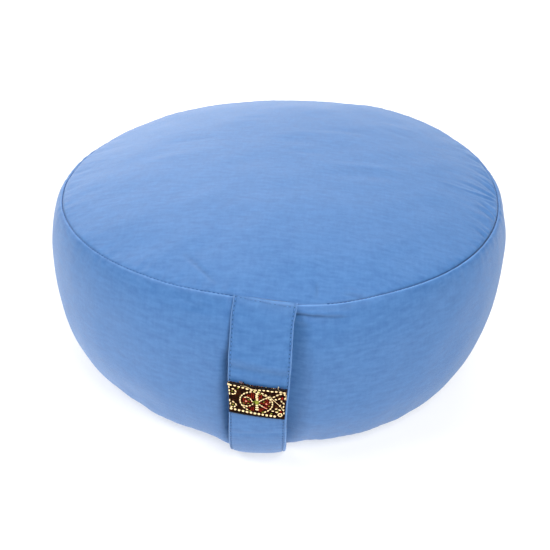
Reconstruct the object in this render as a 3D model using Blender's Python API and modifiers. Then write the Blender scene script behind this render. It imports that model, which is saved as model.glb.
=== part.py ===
"""Round zafu meditation cushion with a carrying strap, in metres, +Z up.

The origin is the middle of the flat base. The strap hangs on the -Y side, and angles run round
the cushion from there towards +X, in degrees.
"""

import math
from collections import namedtuple

import bmesh
import bpy
from mathutils import Vector

MM = 0.001
GAP = 0.0003                # between pieces that touch

# Cushion, before the filling slumps
WIDEST_RADIUS = 0.170
WIDEST_HEIGHT = 0.0965      # where the side band stands out furthest
TOP_SEAM_RADIUS = 0.1614
TOP_SEAM_HEIGHT = 0.1347
CROWN_RISE = 0.025          # of the top panel over its seam
FOOT_RADIUS = 0.1148        # of the flat that the filling presses onto the floor
CROWN_POWER = 2.4           # fullness of the crown, of the band above its widest place, and below
SHOULDER_POWER = 1.28
BELLY_POWER = 0.64

# Seams, drawn in by their thread
BASE_SEAM_RADIUS = 0.139
SEAM_WIDTH = 0.0024
TOP_SEAM_DEPTH = 0.0020
TOP_SEAM_PULL = 55          # degrees below the horizontal
BASE_SEAM_DEPTH = 0.0010
BASE_SEAM_PULL = -65

# The slump: how far the cushion is out of round, and how its seam rises and dips
OVAL = -0.0030
EGG = 0.0016
RIGHT_RISE = 0.0026
FRONT_AND_BACK_RISE = 0.0021
DIAGONAL_SAG = -0.0010
SeamDip = namedtuple("SeamDip", "angle spread drop")
SEAM_DIPS = [
    SeamDip(12, 13, 0.0031),    # on the right of the strap
    SeamDip(-10, 9, -0.0008),   # and the rise on its left
    SeamDip(178, 16, 0.0015),   # a flat place at the back
]
DIP_FADE = 3                # how much sooner a dip dies away from the seam than the broad slump

# Points of the turned shape
COLUMNS = 116
CROWD_ANGLE = 92            # the columns crowd here and opposite, where the gathers are
CROWDING = 0.5
CROWN_ROWS = 12
SHOULDER_ROWS = 7
BELLY_ROWS = 10
BASE_ROWS = 3

# Gathers of the top panel: where each meets the seam, how far it leans towards the back and how
# far it reaches in from the seam, its depth, and its width along the seam
Gather = namedtuple("Gather", "angle lean reach depth width")
GATHERS = [
    Gather(59, 3, 22 * MM, 0.6 * MM, 2.0),
    Gather(65, 4, 30 * MM, 0.9 * MM, 2.0),
    Gather(72, 5, 34 * MM, 1.0 * MM, 2.2),
    Gather(79, 5, 28 * MM, 0.8 * MM, 2.0),
    Gather(86, 6, 46 * MM, 1.3 * MM, 2.4),
    Gather(94, 6, 38 * MM, 1.2 * MM, 2.2),
    Gather(101, 5, 42 * MM, 1.1 * MM, 2.2),
    Gather(109, 4, 30 * MM, 0.8 * MM, 2.2),
    Gather(118, 3, 24 * MM, 0.5 * MM, 2.4),
    Gather(-72, -2, 24 * MM, 0.5 * MM, 2.4),
    Gather(-80, -3, 28 * MM, 0.7 * MM, 2.2),
    Gather(-88, -3, 32 * MM, 0.8 * MM, 2.2),
    Gather(-97, -3, 30 * MM, 0.7 * MM, 2.4),
    Gather(-106, -3, 26 * MM, 0.5 * MM, 2.4),
]
SEAM_EASE = 0.004           # a gather starts this far in from the seam

# Crease that the strap's pull leaves in the band, on its right
CREASE_HEIGHT = 0.1265
CREASE_WIDTH = 0.0035
CREASE_DEPTH = 0.0016
CREASE_ANGLE = 11.5
CREASE_SPREAD = 5.5

# Carrying strap: a row for each place along it, from the top seam round the fold on the floor to
# the base seam, in millimetres. Reach and height are those of the middle of its thickness, aside
# is how far the row is moved towards +X, twist is how far its right side lies further in than its
# middle, and drawn is how far both its corners are drawn back.
STRAP_THICKNESS = 0.0020
STRAP_STEPS = 44
STRAP_COLUMNS = 10
StrapRow = namedtuple("StrapRow", "reach height half_width aside twist drawn")
STRAP_ROWS = [
    StrapRow(161.9, 135.4, 20.4, 0.0, 0.0, 0.0),
    StrapRow(164.1, 133.6, 20.4, 0.0, 0.0, 0.0),
    StrapRow(166.3, 130.0, 20.3, 0.0, 0.0, 0.0),
    StrapRow(168.8, 124.0, 20.1, 0.0, 0.0, 0.0),
    StrapRow(171.0, 115.0, 19.9, 0.0, 0.0, 0.0),
    StrapRow(173.3, 105.0, 19.7, 0.0, 0.0, 0.0),
    StrapRow(175.3, 95.0, 19.5, 0.0, 0.0, 0.0),
    StrapRow(176.9, 82.0, 19.2, 0.1, 0.0, 0.0),
    StrapRow(177.5, 68.0, 18.8, 0.2, 0.1, 0.0),
    StrapRow(176.9, 54.0, 18.6, 0.4, 0.3, 0.0),
    StrapRow(174.7, 40.0, 18.9, 0.7, 0.6, 0.0),
    StrapRow(170.6, 28.0, 19.2, 0.9, 0.9, 0.3),
    StrapRow(164.7, 17.8, 19.4, 1.0, 1.2, 1.0),
    StrapRow(157.8, 10.0, 19.4, 1.0, 1.4, 2.2),
    StrapRow(151.6, 4.9, 19.2, 1.0, 1.4, 3.0),
    StrapRow(147.0, 2.3, 19.0, 1.0, 0.8, 2.0),
    StrapRow(143.4, 2.2, 19.0, 1.0, 0.2, 0.6),
    StrapRow(140.2, 4.0, 19.0, 1.0, 0.0, 0.0),
]

# Woven trim, sewn flat across the strap
TRIM_TOP = 0.0578           # along the strap, from its top edge
TRIM_LENGTH = 0.0246
TRIM_SKEW = 0.0009          # how much longer its right side is, and shorter its left
TRIM_THICKNESS = 0.0009
TRIM_OVERHANG = 0.0002      # past the strap's edges
TRIM_STEPS = 7

MATERIALS = {
    "cushion": ((0.17, 0.33, 0.65, 1.0), 0.85),
    "carry_strap": ((0.16, 0.32, 0.63, 1.0), 0.82),
    "trim_band": ((0.09, 0.035, 0.02, 1.0), 0.75),
}


def clear_scene():
    """Start from an empty file."""
    for thing in list(bpy.data.objects):
        bpy.data.objects.remove(thing, do_unlink=True)


def make_collection(name):
    """A collection of that name in the scene."""
    collection = bpy.data.collections.new(name)
    bpy.context.scene.collection.children.link(collection)
    return collection


def add_object(name, mesh, collection):
    """An object for a mesh, shaded smooth, in its own material."""
    thing = bpy.data.objects.new(name, mesh)
    collection.objects.link(thing)
    colour, roughness = MATERIALS[name]
    material = bpy.data.materials.new(name + "_cloth")
    material.use_nodes = True
    shader = material.node_tree.nodes["Principled BSDF"]
    shader.inputs["Base Color"].default_value = colour
    shader.inputs["Roughness"].default_value = roughness
    shader.inputs["Metallic"].default_value = 0.0
    mesh.materials.clear()
    mesh.materials.append(material)
    mesh.shade_smooth()
    mesh.set_sharp_from_angle(angle=math.radians(50))
    return thing


def hump(place, middle, width):
    """A smooth hump of height 1, gone two widths from its middle."""
    return math.exp(-((place - middle) / width) ** 2)


def ease(share):
    """From 0 to 1 without a kink at either end."""
    share = min(max(share, 0.0), 1.0)
    return share * share * (3 - 2 * share)


# ---------------------------------------------------------------- cushion

def crown_point(share):
    """Radius and height on the top panel, from its middle (0) to its seam (1)."""
    height = TOP_SEAM_HEIGHT + CROWN_RISE * (1 - share ** CROWN_POWER)
    return TOP_SEAM_RADIUS * share, height


def shoulder_point(turn):
    """Radius and height on the band above its widest place, from the seam (0) to there (1)."""
    sine = math.sin(turn * math.pi / 2)
    cosine = math.cos(turn * math.pi / 2)
    radius = TOP_SEAM_RADIUS + (WIDEST_RADIUS - TOP_SEAM_RADIUS) * sine ** SHOULDER_POWER
    return radius, WIDEST_HEIGHT + (TOP_SEAM_HEIGHT - WIDEST_HEIGHT) * cosine


def belly_point(turn):
    """Radius and height below the widest place (0), down to the edge of the flat foot (1)."""
    cosine = max(math.cos(turn * math.pi / 2), 0.0)
    radius = FOOT_RADIUS + (WIDEST_RADIUS - FOOT_RADIUS) * cosine ** BELLY_POWER
    return radius, WIDEST_HEIGHT * (1 - math.sin(turn * math.pi / 2))


def belly_turn(radius):
    """The turn at which the belly has a radius."""
    share = (radius - FOOT_RADIUS) / (WIDEST_RADIUS - FOOT_RADIUS)
    return math.acos(share ** (1 / BELLY_POWER)) / (math.pi / 2)


def draw_in(point, seam, depth, pull):
    """Move a point of the section into the valley of a seam."""
    amount = depth * hump(math.dist(point, seam), 0, SEAM_WIDTH)
    pull = math.radians(pull)
    return point[0] - amount * math.cos(pull), point[1] - amount * math.sin(pull)


def section():
    """The turned section, from the middle of the top, round the outside, to that of the base."""
    top_seam = crown_point(1)
    base_turn = belly_turn(BASE_SEAM_RADIUS)
    base_seam = belly_point(base_turn)
    points = [crown_point(1 - (1 - k / CROWN_ROWS) ** 2) for k in range(CROWN_ROWS + 1)]
    points += [shoulder_point((k / SHOULDER_ROWS) ** 1.4) for k in range(1, SHOULDER_ROWS + 1)]
    points += [belly_point(base_turn * (1 - (1 - k / BELLY_ROWS) ** 1.5))
               for k in range(1, BELLY_ROWS + 1)]
    points += [belly_point(base_turn + (1 - base_turn) * share) for share in (0.12, 0.3, 0.6)]
    points = [draw_in(point, top_seam, TOP_SEAM_DEPTH, TOP_SEAM_PULL) for point in points]
    points = [draw_in(point, base_seam, BASE_SEAM_DEPTH, BASE_SEAM_PULL) for point in points]
    points += [(FOOT_RADIUS * (1 - k / BASE_ROWS), 0.0) for k in range(BASE_ROWS + 1)]
    return points


def slump(angle):
    """How far the seam is pushed outward, raised, and dipped over a short stretch, at an angle."""
    turn = math.radians(angle)
    outward = OVAL * math.sin(2 * turn) + EGG * math.sin(3 * turn)
    upward = RIGHT_RISE * math.sin(turn)
    upward += FRONT_AND_BACK_RISE * math.cos(2 * turn) + DIAGONAL_SAG * math.sin(2 * turn)
    dipped = 0.0
    for dip in SEAM_DIPS:
        away = (angle - dip.angle + 180) % 360 - 180
        dipped += dip.drop * hump(away, 0, dip.spread)
    return outward, upward, dipped


def settle(radius, height, angle):
    """Where a point of the turned shape comes to lie once the filling has slumped."""
    outward, upward, dipped = slump(angle)
    share = (height / TOP_SEAM_HEIGHT) ** 2
    if height > TOP_SEAM_HEIGHT - TOP_SEAM_DEPTH and radius < TOP_SEAM_RADIUS:
        share = (radius / TOP_SEAM_RADIUS) ** 1.5
    height += upward * share - dipped * share ** DIP_FADE
    radius += outward * radius / WIDEST_RADIUS
    turn = math.radians(angle)
    return Vector((radius * math.sin(turn), -radius * math.cos(turn), height))


def gather_depth(radius, angle):
    """How far the gathers sink the top panel at a place."""
    inward = TOP_SEAM_RADIUS - radius
    depth = 0.0
    for gather in GATHERS:
        share = inward / gather.reach
        if 0 < share < 1:
            middle = gather.angle + gather.lean * share
            fade = ease(inward / SEAM_EASE) * (1 - share) ** 1.5
            depth += gather.depth * fade * hump(angle, middle, gather.width)
    return depth


def crease_depth(height, angle):
    """How far the crease beside the strap sinks the band at a place."""
    across = hump(height, CREASE_HEIGHT, CREASE_WIDTH)
    return CREASE_DEPTH * across * hump(angle, CREASE_ANGLE, CREASE_SPREAD)


def crowd(angle):
    """Move an even column's angle, so that the columns lie closer where the gathers are."""
    doubled = 2 * math.radians(angle - CROWD_ANGLE)
    return angle - math.degrees(CROWDING / 2 * math.sin(doubled))


def turned_mesh(points, name):
    """The closed mesh that a section makes when it is turned round the Z axis."""
    outline = bpy.data.meshes.new(name)
    edges = [(k, k + 1) for k in range(len(points) - 1)]
    outline.from_pydata([(radius, 0, height) for radius, height in points], edges, [])
    turned = bpy.data.objects.new(name, outline)
    bpy.context.scene.collection.objects.link(turned)
    screw = turned.modifiers.new("turn", "SCREW")
    screw.steps = COLUMNS
    screw.render_steps = COLUMNS
    screw.use_merge_vertices = True
    screw.merge_threshold = 0.01 * MM
    depsgraph = bpy.context.evaluated_depsgraph_get()
    mesh = bpy.data.meshes.new_from_object(turned.evaluated_get(depsgraph))
    bpy.data.objects.remove(turned, do_unlink=True)
    return mesh


def make_cushion(collection):
    """Top panel, band and base panel round their filling, as one solid."""
    mesh = turned_mesh(section(), "cushion_section")
    for vertex in mesh.vertices:
        x, y, height = vertex.co
        radius = math.hypot(x, y)
        angle = crowd(math.degrees(math.atan2(x, -y)))
        place = settle(radius, height, angle)
        if height > TOP_SEAM_HEIGHT and radius < TOP_SEAM_RADIUS:
            place.z -= gather_depth(radius, angle)
        else:
            place.xy *= 1 - crease_depth(height, angle) / WIDEST_RADIUS
        vertex.co = place
    return add_object("cushion", mesh, collection)


# ---------------------------------------------------------------- strap and trim

def smooth_row(rows, place):
    """The row at a place along the table (0 to its last index), on a smooth curve, in metres."""
    first = min(int(place), len(rows) - 2)
    t = place - first
    before = rows[max(first - 1, 0)]
    start = rows[first]
    end = rows[first + 1]
    after = rows[min(first + 2, len(rows) - 1)]
    values = []
    for a, b, c, d in zip(before, start, end, after):
        values.append(b + t / 2 * (c - a + t * (2 * a - 5 * b + 4 * c - d
                                                + t * (3 * (b - c) + d - a))))
    return StrapRow(*(value * MM for value in values))


def strap_lengths(samples=400):
    """Pairs of place in the table and length along the strap, from its top edge."""
    last = len(STRAP_ROWS) - 1
    length = 0.0
    pairs = [(0.0, 0.0)]
    previous = smooth_row(STRAP_ROWS, 0.0)
    for k in range(1, samples + 1):
        place = last * k / samples
        row = smooth_row(STRAP_ROWS, place)
        length += math.hypot(row.reach - previous.reach, row.height - previous.height)
        pairs.append((place, length))
        previous = row
    return pairs


def place_at(length, pairs):
    """The place in the table at a length along the strap."""
    for (place, here), (next_place, there) in zip(pairs, pairs[1:]):
        if length <= there:
            share = (length - here) / (there - here)
            return place + share * (next_place - place)
    return pairs[-1][0]


def strap_point(length, across, pairs, overhang=0.0):
    """A point in the middle of the strap's thickness, across from -1 to 1."""
    row = smooth_row(STRAP_ROWS, place_at(length, pairs))
    reach = row.reach - row.twist * across - row.drawn * across ** 4
    x = row.aside + across * (row.half_width + overhang)
    return settle(reach, row.height, math.degrees(math.asin(x / reach)))


def strap_outward(length, across, pairs):
    """The direction that points away from the strap's outer face."""
    step = 0.5 * MM
    start = max(length - step, 0.0)
    down = strap_point(start + 2 * step, across, pairs) - strap_point(start, across, pairs)
    side = strap_point(length, across + 0.05, pairs) - strap_point(length, across - 0.05, pairs)
    return down.cross(side).normalized()


def make_sheet(name, rows, columns, point, thickness, collection):
    """A sheet of cloth: a grid whose points a function places, made solid."""
    mesh = bpy.data.meshes.new(name)
    grid = bmesh.new()
    bmesh.ops.create_grid(grid, x_segments=columns, y_segments=rows, size=1.0)
    for vertex in grid.verts:
        across = vertex.co.x
        along = (1 - vertex.co.y) / 2
        vertex.co = point(along, across)
    grid.to_mesh(mesh)
    grid.free()
    sheet = add_object(name, mesh, collection)
    solid = sheet.modifiers.new("thickness", "SOLIDIFY")
    solid.thickness = thickness
    solid.offset = 0.0
    solid.use_even_offset = True
    return sheet


def make_strap(pairs, collection):
    """Double cloth from the top seam, round the fold on the floor, to the base seam."""
    whole = pairs[-1][1]

    def point(along, across):
        return strap_point(along * whole, across, pairs)

    return make_sheet("carry_strap", STRAP_STEPS, STRAP_COLUMNS, point, STRAP_THICKNESS,
                      collection)


def make_trim(pairs, collection):
    """A short length of woven ribbon on the strap's outer face."""
    stand_off = STRAP_THICKNESS / 2 + GAP + TRIM_THICKNESS / 2

    def point(along, across):
        length = TRIM_TOP + along * (TRIM_LENGTH + TRIM_SKEW * across)
        on_strap = strap_point(length, across, pairs, TRIM_OVERHANG)
        return on_strap + stand_off * strap_outward(length, across, pairs)

    return make_sheet("trim_band", TRIM_STEPS, STRAP_COLUMNS, point, TRIM_THICKNESS, collection)


def main():
    """Build every piece in the collection of the object."""
    clear_scene()
    zafu = make_collection("zafu_cushion")
    make_cushion(zafu)
    pairs = strap_lengths()
    make_strap(pairs, zafu)
    make_trim(pairs, zafu)


main()
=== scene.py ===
# %% [markdown]
# # A round zafu cushion with a carrying strap
#
# The real object is a drum of cotton cloth filled with buckwheat hulls. Three pieces of cloth make
# it: a round top panel, a straight strip for the side band and a round base panel. A doubled
# strap is sewn into the top seam and the base seam, and a short length of woven ribbon is sewn
# across it. Here each of these is a mesh of its own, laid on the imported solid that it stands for.

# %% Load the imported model
import math
from collections import namedtuple

import bpy
import numpy as np
from mathutils import Matrix, Vector


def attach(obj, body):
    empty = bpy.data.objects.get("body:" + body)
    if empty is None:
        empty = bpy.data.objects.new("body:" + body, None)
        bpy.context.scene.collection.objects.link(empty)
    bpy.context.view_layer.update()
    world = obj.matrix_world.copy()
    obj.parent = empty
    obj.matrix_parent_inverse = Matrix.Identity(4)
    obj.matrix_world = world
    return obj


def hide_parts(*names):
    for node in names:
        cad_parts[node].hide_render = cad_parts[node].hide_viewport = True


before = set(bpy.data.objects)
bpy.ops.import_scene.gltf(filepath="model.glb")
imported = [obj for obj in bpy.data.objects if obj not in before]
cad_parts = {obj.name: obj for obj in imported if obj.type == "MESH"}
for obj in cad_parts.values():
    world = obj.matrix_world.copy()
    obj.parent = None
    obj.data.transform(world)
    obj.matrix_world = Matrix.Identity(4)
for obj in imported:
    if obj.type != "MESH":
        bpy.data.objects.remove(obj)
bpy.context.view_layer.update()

# %% [markdown]
# ## Camera
#
# The camera looks down on the cushion from the front. Its height, its distance and its lens were
# found by laying the outline of the solid over the photograph, so each edge falls where it does
# there. The small roll and shift are those of a picture that was taken by hand and then cropped.

# %% Place the camera
PICTURE_SIDE = 550          # pixels
FOCAL_PIXELS = 1167.8
LENS_SHIFT = (-0.0102, -0.0238)     # as shares of the picture's side
SENSOR = 36.0               # mm
LOOK_AT = Vector((0, 0, 0.068))
CAMERA_DISTANCE = 0.9073
CAMERA_AZIMUTH = 3.30       # degrees, as are the next two
CAMERA_ELEVATION = 30.87
CAMERA_ROLL = 2.57


def direction(azimuth, elevation):
    """A unit vector, from degrees round from the strap's side and degrees up."""
    azimuth = math.radians(azimuth)
    elevation = math.radians(elevation)
    level = math.cos(elevation)
    return Vector((math.sin(azimuth) * level, -math.cos(azimuth) * level, math.sin(elevation)))


def add_object(name, data):
    """An object with its data, in the scene."""
    thing = bpy.data.objects.new(name, data)
    bpy.context.scene.collection.objects.link(thing)
    return thing


def place_camera():
    """A camera that sees the cushion as the photograph does."""
    back = direction(CAMERA_AZIMUTH, CAMERA_ELEVATION)
    right = direction(CAMERA_AZIMUTH + 90, 0)
    turn = Matrix((right, back.cross(right), back)).transposed()
    turn = turn @ Matrix.Rotation(math.radians(CAMERA_ROLL), 3, "Z")
    lens = bpy.data.cameras.new("camera")
    lens.sensor_fit = "HORIZONTAL"
    lens.sensor_width = SENSOR
    lens.lens = FOCAL_PIXELS * SENSOR / PICTURE_SIDE
    lens.shift_x, lens.shift_y = LENS_SHIFT
    lens.clip_start = 0.01
    lens.clip_end = 50
    camera = add_object("camera", lens)
    camera.matrix_world = Matrix.Translation(LOOK_AT + back * CAMERA_DISTANCE) @ turn.to_4x4()
    bpy.context.scene.camera = camera
    return camera


camera = place_camera()
print("camera lens", round(camera.data.lens, 2), "mm at", round(CAMERA_DISTANCE, 3), "m")

# %% [markdown]
# ## Light and floor
#
# The picture is a bright studio shot. A key lamp stands on the right in front, a second on the left
# and a weak one on the far right. Wide lamps behind give the pale veil on the top panel, because
# cloth that is seen at a low angle towards a light looks paler. The floor is white paper that is lit
# until it is burnt out, so it throws light on the lower band, mostly from the left and from far
# behind. Its emission tells the camera's rays from the others: the camera sees plain white, with
# only a faint shadow close beside the cushion.

# %% Light the scene
LAMPS = [                   # degrees round and up, metres away, metres wide, and watts
    ("key_softbox", 25, 45, 1.7, 0.8, 27),
    ("left_softbox", -60, 44, 1.7, 0.7, 18),
    ("right_softbox", 80, 25, 1.7, 0.8, 3.2),
    ("rear_left_softbox", -150, 30, 2.0, 1.6, 23),
    ("rear_right_softbox", 150, 30, 2.0, 1.6, 10.5),
    ("high_softbox", 180, 55, 2.0, 1.6, 18),
    ("low_left_softbox", -140, 12, 2.0, 1.6, 10.5),
    ("low_rear_softbox", 180, 14, 2.0, 1.6, 4.6),
]
SURROUNDINGS = 0.05         # how bright the white studio round the lamps is


def softbox(name, azimuth, elevation, distance, size, power):
    """A square soft lamp that looks at the cushion."""
    light = bpy.data.lights.new(name, "AREA")
    light.shape = "SQUARE"
    light.size = size
    light.energy = power
    away = direction(azimuth, elevation)
    lamp = add_object(name, light)
    lamp.location = LOOK_AT + away * distance
    lamp.rotation_euler = away.to_track_quat("Z", "Y").to_euler()


def light_scene():
    """Dim white surroundings, a key lamp in front, one on each side and five behind."""
    world = bpy.data.worlds.new("white_studio")
    world.use_nodes = True
    background = world.node_tree.nodes["Background"].inputs
    background["Color"].default_value = (1.0, 1.0, 1.0, 1.0)
    background["Strength"].default_value = SURROUNDINGS
    bpy.context.scene.world = world
    bpy.context.scene.view_settings.view_transform = "Standard"
    for lamp in LAMPS:
        softbox(*lamp)


light_scene()

# %% Helpers for materials
def plug(tree, socket, value):
    """Give an input a link from another socket, or a plain value."""
    if isinstance(value, bpy.types.NodeSocket):
        tree.links.new(value, socket)
    else:
        socket.default_value = value


def add_node(tree, kind, inputs=(), **settings):
    """A shader node, with its settings made and its inputs plugged, in their order or by name."""
    node = tree.nodes.new("ShaderNode" + kind)
    for name, value in settings.items():
        setattr(node, name, value)
    for key, value in inputs.items() if isinstance(inputs, dict) else enumerate(inputs):
        plug(tree, node.inputs[key], value)
    return node


def maths(tree, operation, *values):
    """A Math node's result."""
    return add_node(tree, "Math", values, operation=operation).outputs["Value"]


def vector_maths(tree, operation, inputs, result="Vector"):
    """A Vector Math node's result."""
    return add_node(tree, "VectorMath", inputs, operation=operation).outputs[result]


def mixed(tree, share, first, second, kind="FLOAT"):
    """A value or a colour between two, by a share."""
    inputs = {"Factor": share, "A": first, "B": second}
    return add_node(tree, "Mix", inputs, data_type=kind).outputs["Result"]


def ranged(tree, value, start, end, low=0.0, high=1.0):
    """How far a value lies from a start to an end, as a share or between two others."""
    inputs = {"Value": value, "From Min": start, "From Max": end, "To Min": low, "To Max": high}
    return add_node(tree, "MapRange", inputs).outputs["Result"]


def noise(tree, vector, scale, detail=2.0, roughness=0.5):
    """A Noise texture's grey value at a vector."""
    inputs = {"Vector": vector, "Scale": scale, "Detail": detail, "Roughness": roughness}
    return add_node(tree, "TexNoise", inputs).outputs["Fac"]


def plain_material(name, colour, roughness, **inputs):
    """A Principled material, with its shader and its node tree."""
    material = bpy.data.materials.new(name)
    material.use_nodes = True
    shader = material.node_tree.nodes["Principled BSDF"]
    inputs = {"Base_Color": (*colour, 1.0), "Roughness": roughness, **inputs}
    for key, value in inputs.items():
        shader.inputs[key.replace("_", " ")].default_value = value
    return material, shader, material.node_tree


# %% Lay the floor
FLOOR_SIZE = 40.0           # metres
PAPER = 0.40                # its grey, and how far that drifts
PAPER_MOTTLE = 0.01
NEAR_GLOW = (1.16, 0.36, (-0.92, -0.40, 0.0))   # even part, part to one side, and that side
FAR_GLOW = (1.38, 0.85, (0.0, 1.0, 0.0))
SEEN_GLOW = (0.60, 1.0)     # what the camera sees, close by and far away
NEAR_TO_FAR = (0.40, 0.65)  # metres from the middle


def sided_glow(tree, heading, glow):
    """A glow that is strongest on one side."""
    even, sided, side = glow
    facing = vector_maths(tree, "DOT_PRODUCT", (heading, side), "Value")
    return maths(tree, "MULTIPLY_ADD", facing, sided, even)


def lay_floor():
    """A wide sheet of white paper, with a faint mottle in its tone, that glows: its emission lights
    the cushion more from the left and from far behind, and to the camera it glows less close by, so
    a faint shadow shows there.
    """
    bpy.ops.mesh.primitive_grid_add(x_subdivisions=8, y_subdivisions=8, size=FLOOR_SIZE)
    floor = bpy.context.object
    floor.name = "studio_floor"
    material, shader, tree = plain_material("white_paper", (PAPER,) * 3, 0.9, Specular_IOR_Level=0.1,
                                            Emission_Color=(1.0, 1.0, 1.0, 1.0))
    coordinates = add_node(tree, "TexCoord").outputs
    heading = vector_maths(tree, "NORMALIZE", (coordinates["Object"],))
    away = vector_maths(tree, "LENGTH", (coordinates["Object"],), "Value")
    far = ranged(tree, away, *NEAR_TO_FAR)
    lit = mixed(tree, far, sided_glow(tree, heading, NEAR_GLOW), sided_glow(tree, heading, FAR_GLOW))
    seen = mixed(tree, far, *SEEN_GLOW)
    camera_ray = add_node(tree, "LightPath").outputs["Is Camera Ray"]
    plug(tree, shader.inputs["Emission Strength"], mixed(tree, camera_ray, lit, seen))
    mottle = noise(tree, coordinates["Generated"], 3.0)
    tone = ranged(tree, mottle, 0.0, 1.0, PAPER - PAPER_MOTTLE, PAPER + PAPER_MOTTLE)
    plug(tree, shader.inputs["Base Color"], tone)
    floor.data.materials.append(material)
    return floor


floor = lay_floor()
print("floor", floor.name)

# %% [markdown]
# ## The cushion's shape
#
# The filling is loose, so it pushes the cloth into a flattened drum: a low crown on top, a band
# that stands out furthest at two thirds of its height, and a flat foot where the weight presses
# on the floor. A turned section gives the drum. It starts from the same named sizes as the packed
# solid, but has far more rows, which crowd at the two seams, where the form is small.

# %% The turned section
MM = 0.001
WIDEST_RADIUS = 0.170
WIDEST_HEIGHT = 0.0965
TOP_SEAM_RADIUS = 0.1614
TOP_SEAM_HEIGHT = 0.1347
CROWN_RISE = 0.025
CROWN_POWER = 2.4
SHOULDER_POWER = 1.28
BELLY_POWER = 0.64
FOOT_RADIUS = 0.1148
BASE_SEAM_RADIUS = 0.139
SAMPLES = 3000              # of each of the section's three curves


def crown_points(share):
    """Radius and height on the top panel, from its middle (0) to its seam (1)."""
    return TOP_SEAM_RADIUS * share, TOP_SEAM_HEIGHT + CROWN_RISE * (1 - share ** CROWN_POWER)


def shoulder_points(turn):
    """Radius and height on the band, from the top seam (0) to its widest place (1)."""
    sine = np.sin(turn * math.pi / 2)
    radius = TOP_SEAM_RADIUS + (WIDEST_RADIUS - TOP_SEAM_RADIUS) * sine ** SHOULDER_POWER
    return radius, WIDEST_HEIGHT + (TOP_SEAM_HEIGHT - WIDEST_HEIGHT) * np.cos(turn * math.pi / 2)


def belly_points(turn):
    """Radius and height below the widest place (0), down to the edge of the flat foot (1)."""
    cosine = np.maximum(np.cos(turn * math.pi / 2), 0)
    radius = FOOT_RADIUS + (WIDEST_RADIUS - FOOT_RADIUS) * cosine ** BELLY_POWER
    return radius, WIDEST_HEIGHT * (1 - np.sin(turn * math.pi / 2))


def running_total(steps):
    """The sum of the steps up to each point, from 0."""
    return np.concatenate([[0.0], np.cumsum(steps)])


def section():
    """Radius, height and distance from the middle of the top, of many points of the section, and
    the distances at which the two seams lie."""
    even = np.linspace(0, 1, SAMPLES)
    curves = [crown_points(even), shoulder_points(even ** 1.4), belly_points(1 - (1 - even) ** 1.6)]
    radius, height = np.concatenate(curves + [np.zeros((2, 1))], axis=1)
    distance = running_total(np.hypot(np.diff(radius), np.diff(height)))
    top_seam = distance[SAMPLES - 1]
    base_seam = np.interp(-BASE_SEAM_RADIUS, -radius[-SAMPLES:], distance[-SAMPLES:])
    return radius, height, distance, float(top_seam), float(base_seam)


section_radius, section_height, section_distance, TOP_SEAM, BASE_SEAM = section()
print("top panel", round(2 * TOP_SEAM * 1000), "mm across, band",
      round((BASE_SEAM - TOP_SEAM) * 1000), "mm deep")

# %% Rows and columns that crowd where the cloth has small folds
FINEST_ROW = 0.4 * MM       # beside a seam
COARSEST_ROW = 3.4 * MM
ROW_GROWTH = 1.10
COLUMNS = 584
CROWDS = [                  # degrees round from the strap, and how many more columns stand there
    dict(angle=90, spread=19, extra=3.0),
    dict(angle=-88, spread=22, extra=0.5),
    dict(angle=-18, spread=9, extra=1.1),
    dict(angle=15, spread=10, extra=1.0),
]


def hump(place, middle, width):
    """A smooth hump of height 1, gone two widths from its middle."""
    return np.exp(-((place - middle) / width) ** 2)


def growing_steps(length, coarsest=COARSEST_ROW):
    """Distances from 0 to a length, whose steps grow."""
    places = [0.0]
    step = FINEST_ROW
    while places[-1] < length:
        places.append(places[-1] + step)
        step = min(step * ROW_GROWTH, coarsest)
    return np.array(places) * length / places[-1]


def row_places():
    """Distance of each row from the middle of the top, without the two middles."""
    half_band = (BASE_SEAM - TOP_SEAM) / 2
    whole = section_distance[-1]
    top = TOP_SEAM - growing_steps(TOP_SEAM)[-2::-1]
    upper = TOP_SEAM + growing_steps(half_band)[1:]
    lower = BASE_SEAM - growing_steps(half_band)[-2::-1]
    base = BASE_SEAM + growing_steps(whole - BASE_SEAM, 4 * COARSEST_ROW)[1:-1]
    return np.concatenate([top, upper, lower, base])


def column_angles():
    """The angle of each column, from -180."""
    even = np.linspace(-180, 180, 3601)
    density = 1 + sum(crowd["extra"] * hump(even, crowd["angle"], crowd["spread"])
                      for crowd in CROWDS)
    count = running_total(density[1:])
    return np.interp(np.arange(COLUMNS) / COLUMNS, count / count[-1], even)


places = row_places()
angles = column_angles()
PLACE, ANGLE = np.meshgrid(places, angles, indexing="ij")
print(len(places), "rows of", COLUMNS, "points")

# %% [markdown]
# ## How the filling slumps
#
# No filled cushion stays round. The hulls settle, so the seam rises on the right, dips beside the
# strap and lies a little flat at the back. Its foot is drawn in here and there, and stands out where
# the strap pulls at the base seam. Sines that go once, twice or three times round the cushion give
# the broad slump, and a few humps give the rest. Angles run round from the strap towards the right.

# %% Slump
OVAL = -0.0030
EGG = 0.0016
RIGHT_RISE = 0.0026
FRONT_AND_BACK_RISE = 0.0021
DIAGONAL_SAG = -0.0010
SEAM_DIPS = [               # degrees, and metres
    dict(angle=12, spread=13, drop=0.0031),
    dict(angle=-10, spread=9, drop=-0.0008),
    dict(angle=178, spread=16, drop=0.0015),
    dict(angle=-138, spread=17, drop=-0.0018),
    dict(angle=146, spread=17, drop=-0.0016),
]
DIP_FADE = 3
FOOT_SHIFTS = [             # low in the band: degrees, height of the effect, and metres outward
    dict(angle=-7, spread=5.0, tall=0.020, out=0.0070),
    dict(angle=14, spread=4.5, tall=0.020, out=-0.0033),
    dict(angle=62, spread=26.0, tall=0.045, out=-0.0018),
    dict(angle=-48, spread=10.0, tall=0.030, out=-0.0013),
]
FOOT_SHIFT_HEIGHT = 0.006   # where they are fullest


def ease(share):
    """From 0 to 1 without a kink at either end."""
    share = np.clip(share, 0, 1)
    return share * share * (3 - 2 * share)


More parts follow.
